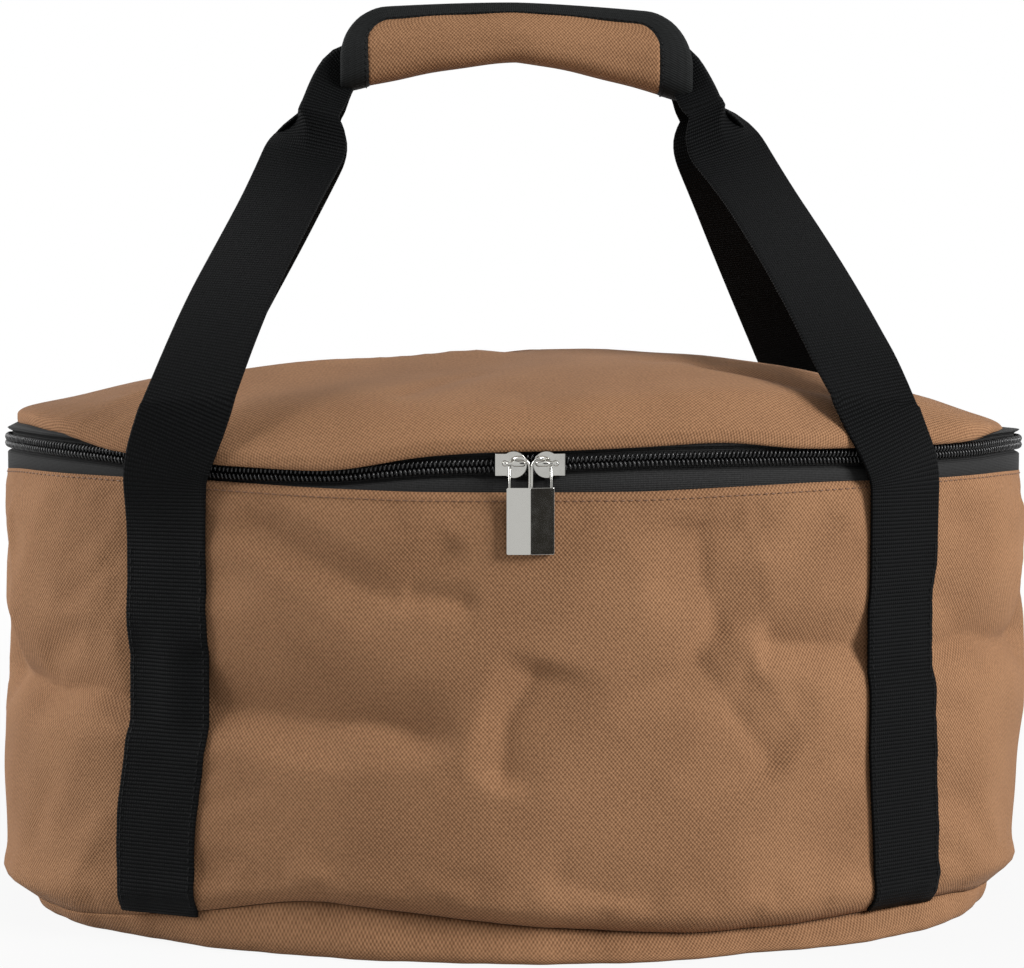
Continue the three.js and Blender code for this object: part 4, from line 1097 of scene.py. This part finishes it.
def foldedSection(across, folded):
    # the strip bends about its middle line, so that its outer half comes to lie behind its inner half
    fine = np.linspace(across[0], across[-1], 241)
    turn = math.pi * folded * smooth((fine + webbing["foldBend"]) / (2 * webbing["foldBend"]))
    step, middle = fine[1] - fine[0], (turn[1:] + turn[:-1]) / 2
    q, w = (np.concatenate([[0], np.cumsum(part(middle))]) * step for part in (np.cos, np.sin))
    q, w = q - (q.min() + q.max()) / 2, w - w.max() / 2
    return np.interp(across, fine, q), np.interp(across, fine, w)


def strapPush(where, z):  # stiff webbing bridges the wall's folds instead of dipping into them
    low = seamHeight(where)
    steps = np.linspace(-webbing["bridge"], webbing["bridge"], 7)
    levels = [np.clip(z + step, low + webbing["footClear"], webbing["sewnTop"]) for step in steps]
    bridged = np.mean([wallOffset(where, level) for level in levels], axis=0)
    here = wallOffset(where, z)
    share = smooth((z - low - webbing["bridgeFrom"]) / webbing["bridgeRun"])
    return here + np.maximum(bridged - here, 0) * share + webbing["lift"]


def onStrap(across, z, acrossSign, depthSign, lift):
    girth = strapMiddle + across + strapSway(z, acrossSign, depthSign)
    push = strapPush(quarterGirth(girth, acrossSign, depthSign), z)
    return ovalPoints(girth, push + lift, z) * [acrossSign, depthSign, 1]


def freeStrap(across, acrossSign, depthSign):
    # rows of points from the sewn leg's top to the middle of the grip
    side, sideLengths = strapSide(acrossSign)
    flat, flatLengths = strapFlat(acrossSign, depthSign, (side, sideLengths))
    run, foldRun, sewnTop = flatLengths[-1], webbing["foldRun"], webbing["sewnTop"]
    foldEnd = flatLengths[-webbing["gripSteps"]] - webbing["foldLead"]
    swayRun = webbing["swayFade"][legOf(acrossSign, depthSign)]
    freeYaw, moreYaw = webbing["freeYaw"], webbing["yaw"][acrossSign] - webbing["freeYaw"]
    rows = []
    for d in np.linspace(0, run, webbing["freeRows"]):
        centre = along(flat, flatLengths, d)
        ahead = along(flat, flatLengths, min(d + 1, run)) - along(flat, flatLengths, max(d - 1, 0))
        ahead = ahead / np.linalg.norm(ahead)
        q, w = foldedSection(across, smooth((d - foldEnd + foldRun) / foldRun))
        z = sewnTop + centre[1] - q * ahead[0]
        sway = strapSway(sewnTop, acrossSign, depthSign) * (1 - smooth(d / swayRun))
        girth = strapMiddle + centre[0] + q * ahead[1] - webbing["spread"] + sway
        where = quarterGirth(girth, acrossSign, depthSign)
        onWall = ovalPoints(girth, strapPush(where, np.minimum(z, sewnTop)), z)
        yaw = math.radians(freeYaw + moreYaw * (1 - smooth((d - webbing["yawFrom"]) / webbing["yawRun"])))
        yaw = yaw * (1 - smooth((d - foldEnd + foldRun + webbing["foldYawLead"]) / webbing["foldYawRun"]))
        turned = q * math.cos(yaw)
        up = centre[1] - turned * ahead[0]
        view = along(side, sideLengths, np.clip(up, 0, sideLengths[-1]))
        slope = along(side, sideLengths, np.clip(up + 1, 0, sideLengths[-1])) - view
        inPlane = np.stack([centre[0] + turned * ahead[1] + sway, -view[:, 0], view[:, 1]], -1)
        facing = np.stack([np.zeros_like(q), -slope[:, 1], -slope[:, 0]], -1)
        facing = facing / np.maximum(np.linalg.norm(facing, axis=1, keepdims=True), 1e-9)
        eased = smooth(d / webbing["twist"])  # leaves the wall's curve over the first stretch
        rows.append(onWall + (inPlane - onWall) * eased - facing * (w + q * math.sin(yaw))[:, None] * eased)
    return np.array(rows) * [acrossSign, depthSign, 1]


def makeHandle(name, depthSign, nodes):
    half, rim = webbing["width"] / 2, webbing["roundEdge"]
    edge = np.array(webbing["edgeSteps"])
    across = np.concatenate([-half + edge, [0], half - edge[::-1]])
    inRim = np.clip(np.abs(across) - half + rim, 0, rim) / rim
    thick = webbing["thickness"] / 2 * np.sqrt(np.clip(1 - inRim**2, 0.02, 1))
    halves = []
    for acrossSign in (1, -1):
        low = seamHeight(acrossSign * strapMiddle) + webbing["footGap"]
        levels = np.linspace(low, webbing["sewnTop"], webbing["sewnRows"])[:-1]
        sewn = [onStrap(across, np.full_like(across, z), acrossSign, depthSign, 0) for z in levels]
        halves.append(np.concatenate([sewn, freeStrap(across, acrossSign, depthSign)]))
    right, left = halves
    grid = np.concatenate([right, left[::-1][1:]])
    normal = surfaceNormals(grid, False) * thick[:, None]
    lengths = runningLength(grid[:, len(across) // 2])
    piece = shell(name, grid + normal, grid - normal, False, across + half, lengths, blackWebbing)
    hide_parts(*nodes)
    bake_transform(piece)


def sewStraps(name, depthSign):
    lines, lift = [], webbing["thickness"] / 2 + webbing["sewnLift"]
    for acrossSign in (1, -1):
        low = float(seamHeight(quarterGirth(strapMiddle, acrossSign, depthSign)))
        z = np.linspace(low + 5, webbing["sewnTop"] - 2, 60)
        for edge in (-webbing["seam"], webbing["seam"]):
            lines.append(onStrap(np.full_like(z, edge), z, acrossSign, depthSign, lift))
    piece = sew(name, lines, blackThread, webbing["stitch"])
    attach(piece, "bag_body")


for word, sign in (("front", 1), ("back", -1)):
    sewStraps(word + "StrapStitches", sign)
    owned = [f"{word}_{s}_strap{e}" for s in ("left", "right") for e in ("", "_bend")] + [word + "_loop"]
    makeHandle(word + "Webbing", sign, owned)
print("webbing made")


def gripLine():  # half of the grip's section, from the fold up: (distance out, height)
    half, belly, corner = grip["panel"] / 2, grip["belly"], grip["corner"]
    closed, neckLow, neckTop = grip["closed"], grip["neckLow"], grip["neckTop"]
    easeOut, easeDown = grip["neckEase"]
    neck = [(belly, neckLow), (belly, neckLow + grip["neckPull"]), (closed + easeOut, neckTop - easeDown),
            (closed, neckTop)]
    return joinPath(
        np.array([[grip["foldGap"], half], [belly - corner, half]]),
        bezier([(belly - corner, half), (belly, half), (belly, half + corner)], 12),
        np.array([[belly, half + corner], [belly, neckLow]]),
        bezier(neck, 24),
        np.array([[closed, neckTop], [closed, grip["height"]]]))


gripPath, gripLengths = gripLine()
gripReach = gripLengths[-1]


def gripHeight(x, up):
    # the fold droops towards the ends more than the top does, and a little more to the right
    share, side = np.abs(x) / grip["half"], x / grip["half"]
    low = grip["fold"] - grip["foldDroop"] * share**1.3 - grip["tilt"] * side
    high = grip["top"] - grip["topDroop"] * share**1.5 - 0.4 * grip["tilt"] * side
    return low + (high - low) * up / grip["height"]


def gripPoint(x, b, lift, depthSign):
    # x along the grip, b up the panel from the fold, lift out of the panel
    at = np.clip(b, 0, gripReach)
    spot = along(gripPath, gripLengths, at)
    after = along(gripPath, gripLengths, np.minimum(at + 0.4, gripReach))
    ahead = after - along(gripPath, gripLengths, np.maximum(at - 0.4, 0))
    ahead = ahead / np.linalg.norm(ahead, axis=-1, keepdims=True)
    out = spot[..., 0] + lift * ahead[..., 1]
    up = spot[..., 1] - lift * ahead[..., 0] + np.maximum(b - gripReach, 0)
    return np.stack([x, -depthSign * out, gripHeight(x, up)], -1)


def gripEdge(endInset, topInset, corner):
    # the free edge from the fold at the left, over the top, to the fold at the right
    top = gripReach - topInset
    turn = np.linspace(0, math.pi / 2, 14)[1:]
    ends = []
    for side in (-1, 1):
        half = grip["half"] - endInset[side]
        up = np.stack([np.full(16, half), np.linspace(0, top - corner, 16)], -1)
        bend = np.stack([half - corner + corner * np.cos(turn), top - corner + corner * np.sin(turn)], -1)
        over = np.stack([np.linspace(half - corner, 0, 26), np.full(26, top)], -1)[1:]
        ends.append(np.concatenate([up, bend, over]) * [side, 1])
    return np.concatenate([ends[0], ends[1][::-1][1:]])


def gripPanel(name, depthSign):
    top, corner, lift = gripReach - grip["topBinding"] + grip["lap"], grip["panelCorner"], grip["panel"] / 2
    b = np.linspace(0, 1, 40) * top
    cut = np.clip(b - (top - corner), 0, corner)
    rounded = np.sqrt(np.clip(corner**2 - cut**2, 0, None))[:, None] - corner
    right, left = (grip["half"] - grip["endBinding"][side] + grip["lap"] + rounded for side in (1, -1))
    t = np.linspace(-1, 1, 91)[None, :]
    x = np.where(t < 0, t * left, t * right)
    up = np.broadcast_to(b[:, None], x.shape)
    puff = grip["puff"] * np.sin(np.pi * np.clip(up / top, 0, 1))
    puff = puff + grip["ripple"] * ripple(x, up, grip["waves"])
    outer, inner = gripPoint(x, up, lift + puff, depthSign), gripPoint(x, up, -lift, depthSign)
    return shell(name, outer, inner, False, x[0] - x[0, 0], b, camelCloth)


def gripBinding(name, inner, outer, depthSign):
    # a folded tape: flat on both faces and round over the edge
    ring = []
    for t in np.linspace(0, 2 * math.pi, 17)[:-1]:
        reach = 0.5 + 0.5 * np.sign(math.cos(t)) * abs(math.cos(t)) ** 0.45
        lift = (grip["panel"] / 2 + grip["tapeProud"]) * np.sign(math.sin(t)) * abs(math.sin(t)) ** 0.55
        x, b = (inner + (outer - inner) * reach).T
        ring.append(gripPoint(x, b, np.full(len(x), lift), depthSign))
    rings, around = np.array(ring).transpose(1, 0, 2), np.linspace(0, grip["tapeWidth"], 17)
    return tube(name, rings, runningLength((inner + outer) / 2), around, blackBinding)


def gripStrip(name, depthSign):
    places, half = np.linspace(-grip["stripHalf"], grip["stripHalf"], 60), grip["panel"] / 2
    b = np.linspace(gripReach - grip["stripFrom"], gripReach - grip["stripTo"], 6)
    x, up = np.broadcast_arrays(places, b[:, None])
    depths = (half, half + grip["stripThick"])
    near, far = (gripPoint(x, up, np.full(x.shape, -depth), depthSign) for depth in depths)
    return shell(name, near, far, False, places, b - b[0], fastenerLook)


def makeGripSide(name, depthSign, body, nodes, stripName):
    panel = gripPanel(name + "Cloth", depthSign)
    past = -grip["past"]
    inner = gripEdge(grip["endBinding"], grip["topBinding"], grip["innerCorner"])
    outer = gripEdge({1: past, -1: past}, past, grip["outerCorner"])
    binding = gripBinding(name + "Binding", inner, outer, depthSign)
    strip = gripStrip(stripName, depthSign)
    x, b = (inner + (outer - inner) * grip["stitchShare"]).T
    line = gripPoint(x, b, np.full(len(x), grip["panel"] / 2 + grip["tapeProud"]), depthSign)
    thread = sew(name + "Stitches", [line], blackThread, grip["stitch"])
    for piece, node in zip((panel, binding, strip), nodes):
        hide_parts(node)
    for piece, slot in ((panel, "cloth"), (binding, "binding"), (strip, "fastener"), (thread, "binding")):
        if body == "grip_flap":
            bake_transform(piece)
        else:
            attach(piece, body)


makeGripSide("gripFlap", 1, "grip_flap", ("grip_flap_panel", "grip_flap_binding", "grip_loop_strip"),
             "gripLoopStrip")
makeGripSide("gripBack", -1, "back_handle", ("grip_back_panel", "grip_back_binding", "grip_hook_strip"),
             "gripHookStrip")
print("grip made")

# places in metres; a lamp has its place, its size and its power in watts
stage = {"floorSize": 12, "floorShare": 0.91, "fadeFrom": 0.3, "fadeTo": 1.3, "world": 0.20,
         "aim": (0, 0, 0.15),
         "lamps": {"keyRight": ((1.75, -1.05, 1.05), 0.9, 62), "fillLeft": ((-1.8, -0.1, 0.92), 1.2, 39.5),
                   "frontSoft": ((0.2, -2.2, 0.9), 1.0, 0.5)}}
flag = {"across": (0.16, 1.4), "deep": (-0.45, -1.3), "high": 0.8, "foot": 0.003}
view = {"lens": 83.94, "distance": 0.890, "height": 0.1508, "pitch": 3.354, "azimuth": -2.852, "sensor": 36,
        "shift": -4.41 / 1024, "nearClip": 0.05}
white = (1, 1, 1, 1)


def whiteToCamera(tree, shaded, glowKind, output, nearShare):
    # the camera and mirrors see white, on the floor only away from the bag; the light keeps its plain level
    path = addNode(tree, "ShaderNodeLightPath")
    mirrored = {0: (path, "Is Glossy Ray"), 1: (path, "Is Transmission Ray")}
    seen = addNode(tree, "ShaderNodeMath", mirrored, operation="MAXIMUM")
    seen = addNode(tree, "ShaderNodeMath", {0: (seen, 0), 1: (path, "Is Camera Ray")}, operation="MAXIMUM")
    if nearShare < 1:
        place = addNode(tree, "ShaderNodeTexCoord")
        reach = addNode(tree, "ShaderNodeVectorMath", {0: (place, "Object")}, operation="LENGTH")
        fade = {0: (reach, "Value"), 1: stage["fadeFrom"], 2: stage["fadeTo"], 3: nearShare, 4: 1.0}
        share = addNode(tree, "ShaderNodeMapRange", fade)
        seen = addNode(tree, "ShaderNodeMath", {0: (seen, 0), 1: (share, 0)}, operation="MULTIPLY")
    glow = addNode(tree, glowKind, {"Color": white, "Strength": 1.0})
    mixed = addNode(tree, "ShaderNodeMixShader", {0: (seen, 0), 1: (shaded, 0), 2: (glow, 0)})
    tree.links.new(mixed.outputs[0], tree.nodes[output].inputs["Surface"])


def makeFloor():
    bpy.ops.mesh.primitive_plane_add(size=stage["floorSize"])
    floor = bpy.context.object
    floor.name = "studioFloor"
    # matt backdrop paper: pale and even, without a gloss
    paper, tree, shader = newMaterial("paperBackdropWhite", Base_Color=linear("#b4b4b4"), Roughness=0.9)
    whiteToCamera(tree, shader, "ShaderNodeEmission", "Material Output", stage["floorShare"])
    floor.data.materials.append(paper)


def makeLight():
    world = bpy.data.worlds.new("studioWorld")
    bpy.context.scene.world = world
    world.use_nodes = True
    sky = world.node_tree.nodes["Background"]
    sky.inputs["Color"].default_value = white
    sky.inputs["Strength"].default_value = stage["world"]
    whiteToCamera(world.node_tree, sky, "ShaderNodeBackground", "World Output", 1.0)
    for name, (place, size, power) in stage["lamps"].items():
        lamp = bpy.data.lights.new(name, "AREA")
        lamp.size, lamp.energy = size, power
        holder = addObject(name, lamp)
        holder.location = place
        holder.rotation_euler = (Vector(stage["aim"]) - Vector(place)).to_track_quat("-Z", "Y").to_euler()


def makeFlag():
    # a black felt card that only the metal mirrors, as on a studio table: dull, with no highlight
    felt = newMaterial("feltBlack", Base_Color=linear("#302e2b"), Roughness=1.0, Specular_IOR_Level=0.0)[0]
    (left, right), (near, far), foot = flag["across"], flag["deep"], flag["foot"]
    corners = [(x, y, z) for y, z in ((near, foot), (far, foot), (far, flag["high"])) for x in (left, right)]
    card = finishMesh("studioFlag", np.array(corners) / mm, [(0, 1, 3, 2), (2, 3, 5, 4)], None, felt)
    card.visible_camera = card.visible_diffuse = card.visible_shadow = card.visible_transmission = False


def makeCamera():
    a, e = math.radians(view["azimuth"]), math.radians(view["pitch"])
    back = Vector((math.sin(a) * math.cos(e), -math.cos(a) * math.cos(e), math.sin(e)))
    camera = bpy.data.cameras.new("photoCamera")
    camera.lens, camera.sensor_width, camera.shift_x = view["lens"], view["sensor"], view["shift"]
    camera.clip_start = view["nearClip"]
    holder = addObject("photoCamera", camera)
    holder.location = Vector((0, 0, view["height"])) + back * view["distance"]
    holder.rotation_euler = (-back).to_track_quat("-Z", "Y").to_euler()
    bpy.context.scene.camera = holder


makeFloor()
makeLight()
makeFlag()
makeCamera()
bpy.context.scene.view_settings.view_transform = "Standard"
print("stage ready")
